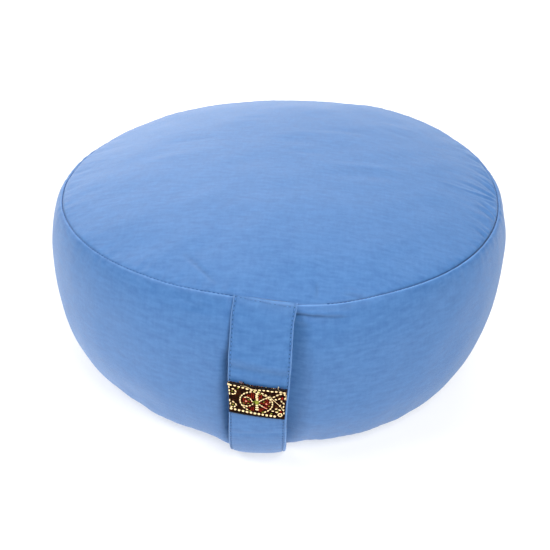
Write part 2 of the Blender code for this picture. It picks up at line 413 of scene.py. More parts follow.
def ramp(value, start, end):
    """From 0 where a value is at its start to 1 at its end."""
    return ease((value - start) / (end - start))


def turned_from(angle, middle):
    """The angle from a place on the rim, from -180 to 180."""
    return (angle - middle + 180) % 360 - 180


def rim_hump(angle, place):
    """A hump round the rim, at the angle and of the spread of a place in a table."""
    return hump(turned_from(angle, place["angle"]), 0, place["spread"])


def settle(radius, height, angle, crown):
    """Where points of the turned shape come to lie once the filling has slumped. The crown's
    points follow the seam by their radius, and the others by their height."""
    turn = np.radians(angle)
    outward = OVAL * np.sin(2 * turn) + EGG * np.sin(3 * turn)
    upward = RIGHT_RISE * np.sin(turn) + FRONT_AND_BACK_RISE * np.cos(2 * turn)
    upward = upward + DIAGONAL_SAG * np.sin(2 * turn)
    dipped = sum(dip["drop"] * rim_hump(angle, dip) for dip in SEAM_DIPS)
    share = np.where(crown, np.minimum(radius / TOP_SEAM_RADIUS, 1) ** 1.5,
                     (height / TOP_SEAM_HEIGHT) ** 2)
    height = height + upward * share - dipped * share ** DIP_FADE
    radius = radius * (1 + outward / WIDEST_RADIUS)
    return np.stack([radius * np.sin(turn), -radius * np.cos(turn), height], axis=-1)


def drum(place, angle):
    """The slumped shape before its seams are drawn in, as rows of columns of points."""
    radius = np.interp(place, section_distance, section_radius)
    height = np.interp(place, section_distance, section_height)
    for shift in FOOT_SHIFTS:
        low = hump(height, FOOT_SHIFT_HEIGHT, shift["tall"]) * (place > TOP_SEAM)
        radius = radius * (1 + shift["out"] / WIDEST_RADIUS * rim_hump(angle, shift) * low)
    return settle(radius, height, angle, place <= TOP_SEAM)


points = drum(PLACE, ANGLE)
print("drum stands", round(float(points[..., 2].max()) * 1000, 1), "mm high")

# %% [markdown]
# ## The filling presses on the cloth
#
# The cloth between two seams isn't a smooth turned surface. The filling presses it out, and where
# it has more length than the seam it buckles into soft ridges. Blender's Cloth finds these on a
# coarse copy of the drum, with pressure inside, no gravity, its seams and foot pinned, and a little
# more cloth than the copy has. The drum's size was found from the photograph, so the mean move of
# each row is taken away again, and only the unevenness goes to the fine rows.

# %% Simulate the pressed cloth
CLOTH_ROW = 5.5 * MM
CLOTH_COLUMNS = 190
CLOTH_FRAMES = 20
CLOTH_PRESSURE = 4.0
CLOTH_STIFFNESS = 0.2
SPARE_CLOTH = 0.03
MOST_MOVE = 0.9 * MM
KEPT_SHARE = 0.07           # of the unevenness, close to the seam
EASED_IN = [                # where more of it is kept: degrees, and the added share
    dict(angle=88, spread=18, share=0.26),
    dict(angle=-95, spread=24, share=0.05),
]
KEPT_REACH = 0.42           # how far from the seam it is gone, and over what distance it fades,
KEPT_FADE = 0.32            # as shares of the top panel's radius


def ring_faces(rows, columns):
    """The quads between closed rows, as an array of corner numbers."""
    row, column = np.meshgrid(np.arange(rows - 1), np.arange(columns), indexing="ij")
    here = row * columns + column
    beside = row * columns + (column + 1) % columns
    return np.stack([here, here + columns, beside + columns, beside], axis=-1).reshape(-1, 4)


def end_faces(rows, columns):
    """The faces that close the first and the last of closed rows."""
    first = np.arange(columns)
    last = first + (rows - 1) * columns
    return [first.tolist(), last[::-1].tolist()]


def mesh_object(name, vertices, faces, corner_uvs=None):
    """A smooth mesh object from arrays, with a UV map in metres where corners are given."""
    mesh = bpy.data.meshes.new(name)
    mesh.from_pydata(np.asarray(vertices).tolist(), [], [list(face) for face in faces])
    if corner_uvs is not None:
        layer = mesh.uv_layers.new(name="cloth")
        layer.data.foreach_set("uv", np.asarray(corner_uvs, dtype=np.float32).ravel())
    mesh.shade_smooth()
    return add_object(name, mesh)


def normals_of(grid):
    """Unit normals of a closed ring of rows, pointing outward."""
    down = np.gradient(grid, axis=0)
    around = (np.roll(grid, -1, axis=1) - np.roll(grid, 1, axis=1)) / 2
    across = np.cross(down, around)
    return across / np.linalg.norm(across, axis=-1, keepdims=True)


def coarse_rows():
    """Evenly spaced rows, with one on each seam."""
    foot = section_distance[-1] - FOOT_RADIUS
    ends = [CLOTH_ROW, TOP_SEAM, BASE_SEAM, foot]
    parts = [np.linspace(a, b, round((b - a) / CLOTH_ROW) + 1) for a, b in zip(ends, ends[1:])]
    return np.concatenate([parts[0], parts[1][1:], parts[2][1:]])


def press_cloth():
    """How far the filling moves the cloth along its normals, at the fine rows and columns."""
    rows = coarse_rows()
    turns = -180 + np.arange(CLOTH_COLUMNS) * 360 / CLOTH_COLUMNS
    place, angle = np.meshgrid(rows, turns, indexing="ij")
    start = drum(place, angle)
    coarse = mesh_object("pressed_cloth", start.reshape(-1, 3), ring_faces(len(rows), CLOTH_COLUMNS))
    held = (np.abs(place - TOP_SEAM) < MM) | (np.abs(place - BASE_SEAM) < MM)
    held = held | (place < 2 * CLOTH_ROW) | (place > BASE_SEAM)
    pins = coarse.vertex_groups.new(name="pins")
    pins.add(np.flatnonzero(held.ravel()).tolist(), 1.0, "REPLACE")
    settings = coarse.modifiers.new("cloth", "CLOTH").settings
    settings.vertex_group_mass = "pins"
    settings.use_pressure = True
    settings.uniform_pressure_force = CLOTH_PRESSURE
    settings.effector_weights.gravity = 0
    settings.shrink_min = -SPARE_CLOTH
    settings.bending_stiffness = CLOTH_STIFFNESS
    for frame_number in range(1, CLOTH_FRAMES + 1):
        bpy.context.scene.frame_set(frame_number)
    shown = coarse.evaluated_get(bpy.context.evaluated_depsgraph_get())
    moved = np.array([vertex.co for vertex in shown.data.vertices]).reshape(start.shape)
    bpy.context.scene.frame_set(1)
    bpy.data.meshes.remove(coarse.data)
    move = ((moved - start) * normals_of(start)).sum(axis=-1)
    print("cloth moved", np.round(np.percentile(move, [2, 50, 98]) * 1000, 2), "mm")
    move = np.clip(move - move.mean(axis=1, keepdims=True), -MOST_MOVE, MOST_MOVE)
    row = np.interp(PLACE, rows, np.arange(len(rows)))
    column = (ANGLE + 180) * CLOTH_COLUMNS / 360
    first = np.minimum(row.astype(int), len(rows) - 2)
    left = column.astype(int) % CLOTH_COLUMNS
    right = (left + 1) % CLOTH_COLUMNS
    down = ease(row - first)
    across = ease(column - np.floor(column))
    upper = move[first, left] * (1 - across) + move[first, right] * across
    lower = move[first + 1, left] * (1 - across) + move[first + 1, right] * across
    return upper * (1 - down) + lower * down


def spare_cloth_share():
    """How much of the unevenness each place keeps: most beside the seam on the right, where the
    maker eased in the spare cloth, less on the left and on the band, none far from the seam."""
    kept = KEPT_SHARE + sum(place["share"] * rim_hump(ANGLE, place) for place in EASED_IN)
    away = np.abs(TOP_SEAM - PLACE) / TOP_SEAM
    return kept * ease((KEPT_REACH - away) / KEPT_FADE) * np.where(PLACE > TOP_SEAM, 0.5, 1.0)


pressed = press_cloth() * spare_cloth_share()
print("unevenness up to", round(float(np.abs(pressed).max()) * 1000, 2), "mm")

# %% [markdown]
# ## Seams, gathers and creases
#
# A seam is two edges of cloth sewn together inside, so from outside it is a sharp valley between
# two rounded lips. Where the round top panel had more cloth than the band, the maker eased it in,
# and it stands in short ridges that run from the seam towards the middle. The cloth between the
# stitches also puckers. All of this is far smaller than the drum, so it is added to it as heights
# along its surface normals.

# %% Helpers for relief
RING_WAVES = 14
LUMP_WAVES = 40


def cloth_place(place, angle, on_band):
    """Where a point lies on its piece of flat cloth, in metres: a strip on the band, else a disc."""
    turn = np.radians(angle)
    from_middle = np.minimum(place, section_distance[-1] - place)
    disc = np.stack([from_middle * np.sin(turn), -from_middle * np.cos(turn)], axis=-1)
    strip = np.stack([turn * WIDEST_RADIUS, place - TOP_SEAM], axis=-1)
    return np.where(on_band[..., None], strip, disc)


def raised(grid, heights):
    """The rows with each point moved along its normal."""
    return grid + normals_of(grid) * heights[..., None]


def ring_noise(slowest, fastest, seed, shift=0.0):
    """Uneven waves round the rim, of about unit height, that close on themselves."""
    chance = np.random.default_rng(seed)
    counts = chance.integers(slowest, fastest, RING_WAVES)
    phases = chance.uniform(0, 2 * math.pi, RING_WAVES)
    waves = [np.sin(np.radians(ANGLE) * count + phase + shift * (count % 7 - 3))
             for count, phase in zip(counts, phases)]
    return sum(waves) / math.sqrt(RING_WAVES / 2)


def lumps(shortest, longest, seed):
    """An even field of soft lumps of about unit height, made of waves in all directions."""
    chance = np.random.default_rng(seed)
    field = np.zeros_like(PLACE)
    for _ in range(LUMP_WAVES):
        direction = chance.normal(size=3)
        direction /= np.linalg.norm(direction)
        length = chance.uniform(shortest, longest)
        phase = chance.uniform(0, 2 * math.pi)
        field += np.sin(points @ direction * (2 * math.pi / length) + phase)
    return field / math.sqrt(LUMP_WAVES / 2)


# %% Gathers of the top panel
# each runs inward from the seam: its angle at the seam and at its inner end, the distances from the
# seam at which it starts and ends in mm, its rise in mm (a valley's is negative) and its width in
# degrees
Gather = namedtuple("Gather", "outer inner start end rise width")
GATHERS = [
    Gather(68.0, 69.6, 1, 16, -0.80, 0.6), Gather(69.0, 70.4, 1, 14, 0.64, 0.5),
    Gather(70.3, 71.2, 1, 12, -0.48, 0.5), Gather(71.3, 71.8, 1, 12, 0.64, 0.5),
    Gather(72.8, 74.5, 1, 22, -0.72, 0.8), Gather(76.2, 77.8, 3, 28, 0.56, 0.9),
    Gather(77.3, 80.8, 1, 20, -0.80, 0.6), Gather(78.6, 82.8, 1, 20, 0.96, 0.5),
    Gather(80.0, 84.4, 0, 20, -1.12, 0.6), Gather(82.6, 86.2, 1, 18, 0.56, 0.6),
    Gather(85.0, 87.0, 1, 26, -0.64, 0.8), Gather(88.1, 88.2, 2, 42, -0.56, 0.6),
    Gather(89.3, 88.4, 1, 52, 0.94, 0.6), Gather(90.2, 92.6, 1, 38, -0.88, 0.6),
    Gather(90.9, 94.4, 3, 30, 0.62, 0.5), Gather(92.0, 98.0, 0, 20, -1.36, 0.6),
    Gather(93.8, 99.8, 1, 18, 0.80, 0.5), Gather(95.0, 101.0, 1, 19, -0.64, 0.6),
    Gather(96.3, 102.2, 1, 20, 0.72, 0.6), Gather(97.0, 105.0, 0, 8, -0.96, 0.7),
    Gather(101.2, 105.2, 2, 20, -0.88, 0.7), Gather(104.5, 108.5, 1, 18, 0.48, 0.9),
    Gather(109.6, 114.4, 1, 16, -0.64, 0.9), Gather(112.0, 117.0, 1, 13, 0.40, 0.9),
    Gather(118.0, 121.0, 1, 16, -0.40, 1.1), Gather(-78.0, -81.5, 1, 24, -0.18, 1.2),
    Gather(-83.0, -85.0, 2, 20, 0.12, 1.0), Gather(-87.0, -94.0, 1, 30, -0.24, 1.2),
    Gather(-93.0, -98.0, 2, 22, 0.12, 1.0), Gather(-101.5, -106.0, 1, 26, -0.26, 1.3),
    Gather(-112.0, -115.0, 1, 20, -0.25, 1.4), Gather(-64.0, -66.0, 1, 16, -0.25, 1.2),
    Gather(39.0, 40.0, 1, 13, -0.25, 1.3), Gather(-41.0, -42.0, 1, 12, -0.20, 1.3),
]
GATHER_BEND = 1.7           # how much of a gather's turn is near the seam
GATHER_FADE = 0.9           # how soon it sinks away towards its inner end
GATHER_FAN = 0.8            # how much wider it is there
GATHER_FULLNESS = 1.15


def gather_relief():
    """The heights of the gathers on the top panel."""
    relief = np.zeros_like(PLACE)
    for gather in GATHERS:
        share = ((TOP_SEAM - PLACE) / MM - gather.start) / (gather.end - gather.start)
        inside = np.clip(share, 0, 1)
        turned = (gather.inner - gather.outer) * (1 - (1 - inside) ** GATHER_BEND)
        fade = ease(share / 0.15) * (1 - inside) ** GATHER_FADE
        width = gather.width * (1 + GATHER_FAN * inside)
        aside = turned_from(ANGLE, gather.outer + turned)
        relief += GATHER_FULLNESS * gather.rise * MM * fade * hump(aside, 0, width)
    return relief


print(len(GATHERS), "gathers, up to", max(gather.end for gather in GATHERS), "mm long")

# %% Creases of the top panel and the band
# each runs from one place of its flat cloth to another, in mm: on the top panel from its middle to
# the right and to the back, on the band round from the strap and down from the top seam (so y is the
# distance below it). Shade is painted shade that darkens the sharpest ones
Crease = namedtuple("Crease", "panel start end rise width shade", defaults=[0])
CREASES = [
    Crease("top", (18, 52), (60, 54), -0.50, 4.5),
    Crease("top", (-2, 43), (40, 44), 0.35, 4.0),
    Crease("top", (-22, 31), (36, 22), -0.50, 5.5),
    Crease("top", (-8, 9), (30, 7), -0.35, 3.0),
    Crease("top", (22, -9), (98, -2), 0.50, 5.0),
    Crease("top", (14, -28), (96, -14), -0.50, 5.5),
    Crease("top", (60, 74), (96, 62), -0.40, 4.5),
    Crease("top", (66, 88), (100, 78), 0.35, 4.0),
    Crease("top", (-52, 72), (-16, 80), -0.35, 5.0),
    Crease("top", (-98, 22), (-52, 34), -0.35, 5.0),
    Crease("top", (-110, -8), (-66, 4), 0.30, 5.0),
    Crease("top", (-60, -122), (-31, -155), -1.00, 1.4, 0.55),
    Crease("top", (-64, -120), (-35, -150), 0.25, 3.0),
    Crease("top", (33, -142), (33, -158), -0.60, 1.2, 0.35),
    Crease("top", (48, -147), (68, -147), 0.40, 1.5),
    Crease("top", (46, -150), (68, -151), -0.55, 1.4, 0.45),
    Crease("band", (-60, 11), (-26, 10.5), -0.45, 2.0),
    Crease("band", (-58, 14.5), (-27, 14.5), 0.30, 2.5),
]


def beside_line(flat, start, end):
    """For places on flat cloth: how far along a line (0 to 1) and how far aside they lie."""
    start = np.array(start) * MM
    run = np.array(end) * MM - start
    length = np.hypot(*run)
    away = flat - start
    along = away @ run / length ** 2
    aside = (away[..., 1] * run[0] - away[..., 0] * run[1]) / length
    return along, aside


def crease_cover(crease, flat, on_band):
    """Where a crease lies: 1 along its middle, and 0 away from it."""
    along, aside = beside_line(flat, crease.start, crease.end)
    fade = ease(2.3 * (0.5 - np.abs(along - 0.5)) + 0.1)
    here = on_band if crease.panel == "band" else PLACE < TOP_SEAM
    return fade * hump(aside, 0, crease.width * MM) * here


def crease_relief(flat, on_band):
    """The heights of the creases."""
    return sum(crease.rise * MM * crease_cover(crease, flat, on_band) for crease in CREASES)


print(len(CREASES), "creases")

# %% The tuck that the strap's pull leaves in the band on its right
TUCK = dict(start=(22, 6.4), end=(52, 9.6), depth=3.2, sharpness=0.5, recovery=14.0, bulge=0.9)
TUCK_BULGE_PLACE = 2.2      # mm above the line
TUCK_BULGE_WIDTH = 2.0
TUCK_START = (-0.9, -0.3)   # where it fades in and out, as shares of the line
TUCK_END = (1.35, 0.6)


def tuck_relief(flat, on_band):
    """Cloth that bulges above a line and drops in sharply under it."""
    along, aside = beside_line(flat, TUCK["start"], TUCK["end"])
    below = np.maximum(aside, 0) / MM
    above = np.maximum(-aside, 0) / MM
    fade = ramp(along, *TUCK_START) * ramp(along, *TUCK_END)
    drop = (1 - np.exp(-below / TUCK["sharpness"])) * np.exp(-below / TUCK["recovery"])
    swell = hump(above, TUCK_BULGE_PLACE, TUCK_BULGE_WIDTH) * (aside < 0)
    return (TUCK["bulge"] * swell - TUCK["depth"] * drop) * MM * fade * on_band


print("tuck from", TUCK["start"], "to", TUCK["end"], "mm from the strap's middle and the top seam")

# %% The hollow behind the strap
# on each side of the strap, in mm: its depth, and where across it starts and is full, first low
# down and then near the seam. It goes from the first place to the second over the heights in
# narrows, gets shallower there by a share, and dies away over the heights in fades
LEFT_RECESS = dict(depth=8.5, start=(-28, -23), full=(-14, -9), narrows=(90, 110),
                   shallower=0.0, fades=(129, 110))
RIGHT_RECESS = dict(depth=5.0, start=(36, 28), full=(16, 17), narrows=(119, 125),
                    shallower=0.35, fades=(134, 126))
LEFT_TO_RIGHT = (-8, 18)    # where across one side turns into the other
FOOT_FADE = (6, 30)         # the heights over which both die away towards the foot


def recess_depth(recess, x, z):
    """How deep one side of the hollow is, in mm, at places across and up in mm."""
    high = ramp(z, *recess["narrows"])
    start, full = [low + (near_seam - low) * high
                   for low, near_seam in (recess["start"], recess["full"])]
    depth = recess["depth"] * (1 - recess["shallower"] * high)
    return depth * ramp(x, start, full) * ramp(z, *recess["fades"])


def recess_relief(flat, on_band):
    """The band sinks in behind the strap, steeply on its left and gently on its right."""
    x = flat[..., 0] / MM
    z = points[..., 2] / MM
    left, right = [recess_depth(recess, x, z) for recess in (LEFT_RECESS, RIGHT_RECESS)]
    depth = left + (right - left) * ramp(x, *LEFT_TO_RIGHT)
    return -depth * ramp(z, *FOOT_FADE) * MM * on_band


print("hollow up to", LEFT_RECESS["depth"], "mm deep on the left and", RIGHT_RECESS["depth"],
      "on the right")

# %% Seam valleys, puckers, folds and lumps
VALLEY_WIDTH = 1.1 * MM
TOP_VALLEY = 2.3 * MM
BASE_VALLEY = 1.6 * MM
PULLED_OPEN = [             # where the strap's pull opens the seams: degrees, and how far
    dict(angle=-24, spread=48, share=0.76),
    dict(angle=11, spread=6, share=0.8),
]
PUCKER_REACH = 7 * MM
PUCKER_HEIGHT = 0.22 * MM
LUMP_HEIGHT = 0.16 * MM
BELLY_FOLD_HEIGHT = 0.5 * MM
BELLY_FOLD_REACH = 55 * MM
HOLLOWS = [                 # soft dents low in the band: degrees, and metres
    dict(angle=-34, spread=13, height=0.026, tall=0.017, depth=0.0030),
    dict(angle=21, spread=9, height=0.020, tall=0.014, depth=0.0008),
    dict(angle=38, spread=9, height=0.027, tall=0.014, depth=0.0010),
]


def seam_relief(seam, depth):
    """The sharp valley of a seam, shallower in front, where the strap's pull opens it."""
    opened = np.max([pull["share"] * rim_hump(ANGLE, pull) for pull in PULLED_OPEN], axis=0)
    return -depth * (1 - opened) * np.exp(-np.abs(PLACE - seam) / VALLEY_WIDTH)


def pucker_relief(seam, seed):
    """Small uneven ridges across a seam, that die away from it."""
    away = np.abs(PLACE - seam)
    fade = np.exp(-away / PUCKER_REACH) * ease(away / (2.5 * MM))
    fade = fade * (0.7 + 0.3 * np.cos(np.radians(ANGLE)))
    return PUCKER_HEIGHT * fade * ring_noise(70, 150, seed, shift=away[..., :1] * 30)


def hollow_relief():
    """Soft dents low in the band, where the filling has run off to the side."""
    dents = [hollow["depth"] * rim_hump(ANGLE, hollow)
             * hump(points[..., 2], hollow["height"], hollow["tall"]) for hollow in HOLLOWS]
    return -sum(dents)


def belly_fold_relief():
    """Soft folds that rise from the base seam into the band."""
    up = (BASE_SEAM - PLACE) / BELLY_FOLD_REACH
    fade = ease(1 - np.abs(up - 0.25) / 0.75) * (0.42 - 0.12 * np.cos(np.radians(ANGLE)))
    return BELLY_FOLD_HEIGHT * fade * ring_noise(18, 46, 8)


def relief_of_cushion():
    """All small forms together."""
    relief = seam_relief(TOP_SEAM, TOP_VALLEY) + seam_relief(BASE_SEAM, BASE_VALLEY)
    relief += pucker_relief(TOP_SEAM, 3) + pucker_relief(BASE_SEAM, 4)
    on_band = (PLACE > TOP_SEAM) & (PLACE < BASE_SEAM)
    flat = cloth_place(PLACE, ANGLE, on_band)
    relief += gather_relief() + crease_relief(flat, on_band) + tuck_relief(flat, on_band)
    relief += recess_relief(flat, on_band) + hollow_relief() + belly_fold_relief()
    relief += LUMP_HEIGHT * lumps(22 * MM, 60 * MM, 5) + pressed
    return relief


points = raised(points, relief_of_cushion())
points[..., 2] = np.maximum(points[..., 2], 0)
points[PLACE > section_distance[-1] - FOOT_RADIUS, 2] = 0
print("cushion now reaches", round(float(points[..., 2].max()) * 1000, 1), "mm up")

# %% Make the cushion's mesh
SEAM_DASHES = 240           # round the rim, where the seam's stitches come and go
FOLD_PLACE = 1.0 * MM       # the band's fold, painted paler for wear and as a painted highlight, lies this far under the seam
FOLD_WIDTH = 0.6 * MM
# where the band's fold is painted paler, for wear and as a painted highlight
WORN_AND_LIT_FOLD = dict(angle=6, spread=58, share=1.2)
# painted shade along the bottom of the top seam: where it lies below the seam, and its width
SEAM_DARK_PLACE = -0.2 * MM
SEAM_DARK_WIDTH = 0.45 * MM
SEAM_SHADES = [             # where the painted shade at the seam's bottom is deeper or lighter: degrees, and how much
    dict(angle=66, spread=22, share=1.3),
    dict(angle=10.5, spread=4.5, share=-1.0),
    dict(angle=-32, spread=34, share=-0.5),
]
DASHED_FROM = (20, -10)     # the dashes show on the left, and fade in between these angles


def paint_values(thing, name, values):
    """A value at each point of a mesh, for its material to read."""
    layer = thing.data.attributes.new(name, "FLOAT", "POINT")
    layer.data.foreach_set("value", np.asarray(values, dtype=np.float32).ravel())


def seam_values():
    """How much the band's folded edge just under the top seam is painted paler, for wear and as a
    painted highlight, and how much painted shade darkens the seam's bottom and the sharpest creases,
    at each point of the cushion. Both seam marks come and go with the stitches."""
    below = PLACE - TOP_SEAM
    turn = np.radians(ANGLE)
    dashes = 0.5 + 0.5 * np.sin(turn * SEAM_DASHES + 2 * np.sin(turn * 31))
    left = ramp(ANGLE, *DASHED_FROM)
    fold = hump(below, FOLD_PLACE, FOLD_WIDTH) * rim_hump(ANGLE, WORN_AND_LIT_FOLD)
    worn_and_lit = WORN_AND_LIT_FOLD["share"] * fold * (1 - 0.5 * left * dashes)
    deep = np.prod([1 + shade["share"] * rim_hump(ANGLE, shade) for shade in SEAM_SHADES], axis=0)
    dark = deep * hump(below, SEAM_DARK_PLACE, SEAM_DARK_WIDTH) * (1 - 0.8 * left * (1 - dashes))
    flat = cloth_place(PLACE, ANGLE, below > 0)
    for crease in CREASES:
        dark = dark + crease.shade * crease_cover(crease, flat, below > 0)
    return [np.append(values, (0.0, 0.0)) for values in (worn_and_lit, dark)]


def make_cushion():
    """Top panel, band and base panel round their filling, in one closed mesh."""
    quads = ring_faces(len(places), COLUMNS)
    row, column = np.divmod(quads, COLUMNS)
    angle = angles[column]
    angle[:, 2:] = np.where(column[:, 2:] == 0, 180.0, angle[:, 2:])
    quad_place = places[row].mean(axis=1, keepdims=True)
    on_band = (quad_place > TOP_SEAM) & (quad_place < BASE_SEAM)
    uvs = cloth_place(places[row], angle, on_band)
    vertices = np.concatenate([points.reshape(-1, 3), [points[0].mean(axis=0), (0, 0, 0)]])
    here = np.arange(COLUMNS)
    beside = (here + 1) % COLUMNS
    last = (len(places) - 1) * COLUMNS
    top_middle = 0 * here + len(places) * COLUMNS
    top_fan = np.stack([here, beside, top_middle], axis=-1)
    base_fan = np.stack([last + beside, last + here, top_middle + 1], axis=-1)
    fan_uvs = vertices[np.concatenate([top_fan, base_fan])][..., :2]
    corner_uvs = np.concatenate([uvs.reshape(-1, 2), fan_uvs.reshape(-1, 2)])
    faces = quads.tolist() + top_fan.tolist() + base_fan.tolist()
    thing = mesh_object("cushion_body", vertices, faces, corner_uvs)
    worn_and_lit, dark = seam_values()
    paint_values(thing, "fold_wear_and_highlight", worn_and_lit)
    paint_values(thing, "painted_groove_shade", dark)
    return thing


cushion = make_cushion()
print("cushion_body has", len(cushion.data.polygons), "faces")

# %% [markdown]
# ## Cotton cloth
#
# The cushion and the strap are the same plain-weave cotton. Three effects make it: the weave itself,
# where each thread goes over and under the next; slubs, which are threads that run thick and thin
# and so leave faint streaks; and slow changes of tone: a random drift such as washing and handling
# leave, paler ridges, and painted shade in the valleys. Each is a node group, because the strap uses
# them too, with its own values.

# %% Helpers for node groups
def new_group(name, place, values, results):
    """A shader node group that takes a vector and some values: its tree, the sockets that bring
    them in, and the sockets that take its results out."""
    tree = bpy.data.node_groups.new(name, "ShaderNodeTree")
    tree.interface.new_socket(place, in_out="INPUT", socket_type="NodeSocketVector")
    for value, default in values.items():
        socket = tree.interface.new_socket(value, in_out="INPUT", socket_type="NodeSocketFloat")
        socket.default_value = default
    for result in results:
        tree.interface.new_socket(result, in_out="OUTPUT", socket_type="NodeSocketFloat")
    return tree, tree.nodes.new("NodeGroupInput").outputs, tree.nodes.new("NodeGroupOutput").inputs


def place_group(tree, group, inputs):
    """The outputs of a node group that is placed in a tree."""
    return add_node(tree, "Group", inputs, node_tree=group).outputs


def split(tree, vector):
    """A vector's X, Y and Z."""
    return add_node(tree, "SeparateXYZ", (vector,)).outputs


def vector_of(tree, x, y, z):
    """A vector from three values."""
    return add_node(tree, "CombineXYZ", (x, y, z)).outputs["Vector"]


def uneven(tree, vector, scale, detail, roughness=0.5):
    """Noise about 0."""
    return maths(tree, "SUBTRACT", noise(tree, vector, scale, detail, roughness), 0.5)


def scaled(tree, colour, share):
    """A colour times a share."""
    return vector_maths(tree, "SCALE", {0: colour, "Scale": share})


# %% Plain weave
def make_plain_weave():
    """Heights of threads that go over and under each other, and the gaps between them."""
    tree, start, end = new_group("plain_weave", "Cloth Place", {"Threads Per Metre": 2000.0},
                                 ["Height", "Gap"])
    place = split(tree, start["Cloth Place"])
    across = maths(tree, "MULTIPLY", place["X"], start["Threads Per Metre"])
    down = maths(tree, "MULTIPLY", place["Y"], start["Threads Per Metre"])

    def thread(over, under):
        """A thread's round height times its rise and fall over the threads that it crosses."""
        half_turn = maths(tree, "MULTIPLY", over, math.pi)
        roundness = maths(tree, "ABSOLUTE", maths(tree, "SINE", half_turn))
        crossed = maths(tree, "ADD", under, maths(tree, "FLOOR", over))
        turn = maths(tree, "MULTIPLY", crossed, math.pi)
        rise = maths(tree, "MULTIPLY_ADD", maths(tree, "SINE", turn), 0.5, 0.5)
        return maths(tree, "MULTIPLY", roundness, rise)

    warp = thread(across, down)
    weft = thread(down, maths(tree, "ADD", across, 1.0))
    height = maths(tree, "MAXIMUM", warp, weft)
    filled = maths(tree, "SMOOTH_MIN", maths(tree, "MULTIPLY", height, 3.0), 1.0, 0.2)
    plug(tree, end["Height"], height)
    plug(tree, end["Gap"], maths(tree, "SUBTRACT", 1.0, filled))
    return tree


plain_weave = make_plain_weave()
print("node group", plain_weave.name, "with", len(plain_weave.nodes), "nodes")

# %% Slubs
def make_slubs():
    """Faint streaks along both thread directions and a fine grain, both about 0, from threads of
    uneven thickness."""
    values = {"Streak Width": 0.0026, "Streak Length": 0.009, "Warp Share": 0.5}
    tree, start, end = new_group("slubs", "Cloth Place", values, ["Streaks", "Grain"])
    place = split(tree, start["Cloth Place"])

    def streaks(across, along_thread, layer):
        """Noise that is drawn out along the threads."""
        fine = maths(tree, "DIVIDE", across, start["Streak Width"])
        long = maths(tree, "DIVIDE", along_thread, start["Streak Length"])
        return uneven(tree, vector_of(tree, fine, long, layer), 1.0, 1.5)

    warp = streaks(place["X"], place["Y"], 0.0)
    weft = streaks(place["Y"], place["X"], 7.3)
    plug(tree, end["Streaks"], maths(tree, "MULTIPLY_ADD", warp, start["Warp Share"], weft))
    plug(tree, end["Grain"], uneven(tree, start["Cloth Place"], 620.0, 1.0, 0.6))
    return tree


slubs = make_slubs()
print("node group", slubs.name, "with", len(slubs.nodes), "nodes")

# %% Tone
def make_cloth_tone():
    """A tone about 1 that drifts over the cloth, paler on ridges for wear, with painted shade
    darkening the valleys.
    """
    values = {"Drift": 0.05, "Ridge Wear": 0.1, "Valley Shade": 0.3}
    tree, start, end = new_group("cloth_tone", "Place", values, ["Tone"])
    drift = maths(tree, "MULTIPLY", uneven(tree, start["Place"], 9.0, 3.0, 0.55), start["Drift"])
    form = add_node(tree, "NewGeometry").outputs["Pointiness"]
    wear = maths(tree, "MULTIPLY", ranged(tree, form, 0.505, 0.56), start["Ridge Wear"])
    shade = maths(tree, "MULTIPLY", ranged(tree, form, 0.49, 0.42), start["Valley Shade"])
    tone = maths(tree, "ADD", maths(tree, "ADD", 1.0, drift), wear)
    plug(tree, end["Tone"], maths(tree, "SUBTRACT", tone, shade))
    return tree


cloth_tone = make_cloth_tone()
print("node group", cloth_tone.name, "with", len(cloth_tone.nodes), "nodes")

# %% Yarn
def make_yarn_grain():
    """The twist of a yarn: slanted plies with shade between them, and a fuzz of uneven tone."""
    values = {"Plies Per Metre": 2600.0, "Unevenness": 0.4}
    tree, start, end = new_group("yarn_grain", "Place", values, ["Tone", "Height"])
    place = split(tree, start["Place"])
    level = maths(tree, "MULTIPLY_ADD", place["X"], 0.35, place["Z"])
    turns = maths(tree, "MULTIPLY", level, start["Plies Per Metre"])
    ply = maths(tree, "ABSOLUTE", maths(tree, "SINE", maths(tree, "MULTIPLY", turns, math.pi)))
    fuzz = uneven(tree, start["Place"], 700.0, 3.0, 0.6)
    shade = maths(tree, "MULTIPLY_ADD", ply, 0.25, 0.80)
    plug(tree, end["Tone"], maths(tree, "MULTIPLY_ADD", fuzz, start["Unevenness"], shade))
    plug(tree, end["Height"], maths(tree, "MULTIPLY_ADD", fuzz, 0.6, ply))
    return tree


yarn_grain = make_yarn_grain()
print("node group", yarn_grain.name, "with", len(yarn_grain.nodes), "nodes")


def dress(tree, shader, colour, roughness, height, distance, strength):
    """Give a shader its colour, its roughness and its relief."""
    relief = {"Height": height, "Distance": distance, "Strength": strength}
    normal = add_node(tree, "Bump", relief).outputs["Normal"]
    for name, value in (("Base Color", colour), ("Roughness", roughness), ("Normal", normal)):
        plug(tree, shader.inputs[name], value)


def yarn_material(name, colour, roughness, sheen=0.2, shine=0.4, unevenness=0.4):
    """Yarn of one colour, with its twist."""
    material, shader, tree = plain_material(name, colour, roughness, Specular_IOR_Level=shine,
                                            Sheen_Weight=sheen, Sheen_Roughness=0.4)
    place = add_node(tree, "TexCoord").outputs["Object"]
    yarn = place_group(tree, yarn_grain, {"Place": place, "Unevenness": unevenness})
    rough = maths(tree, "MULTIPLY_ADD", yarn["Height"], -0.12, roughness + 0.08)
    dress(tree, shader, scaled(tree, colour, yarn["Tone"]), rough, yarn["Height"], 0.06 * MM, 0.6)
    return material


# %% The blue cotton
COTTON_BLUE = (0.030, 0.124, 0.322)
SLUB_BLUE = (0.065, 0.122, 0.200)   # what a thick or pale thread adds
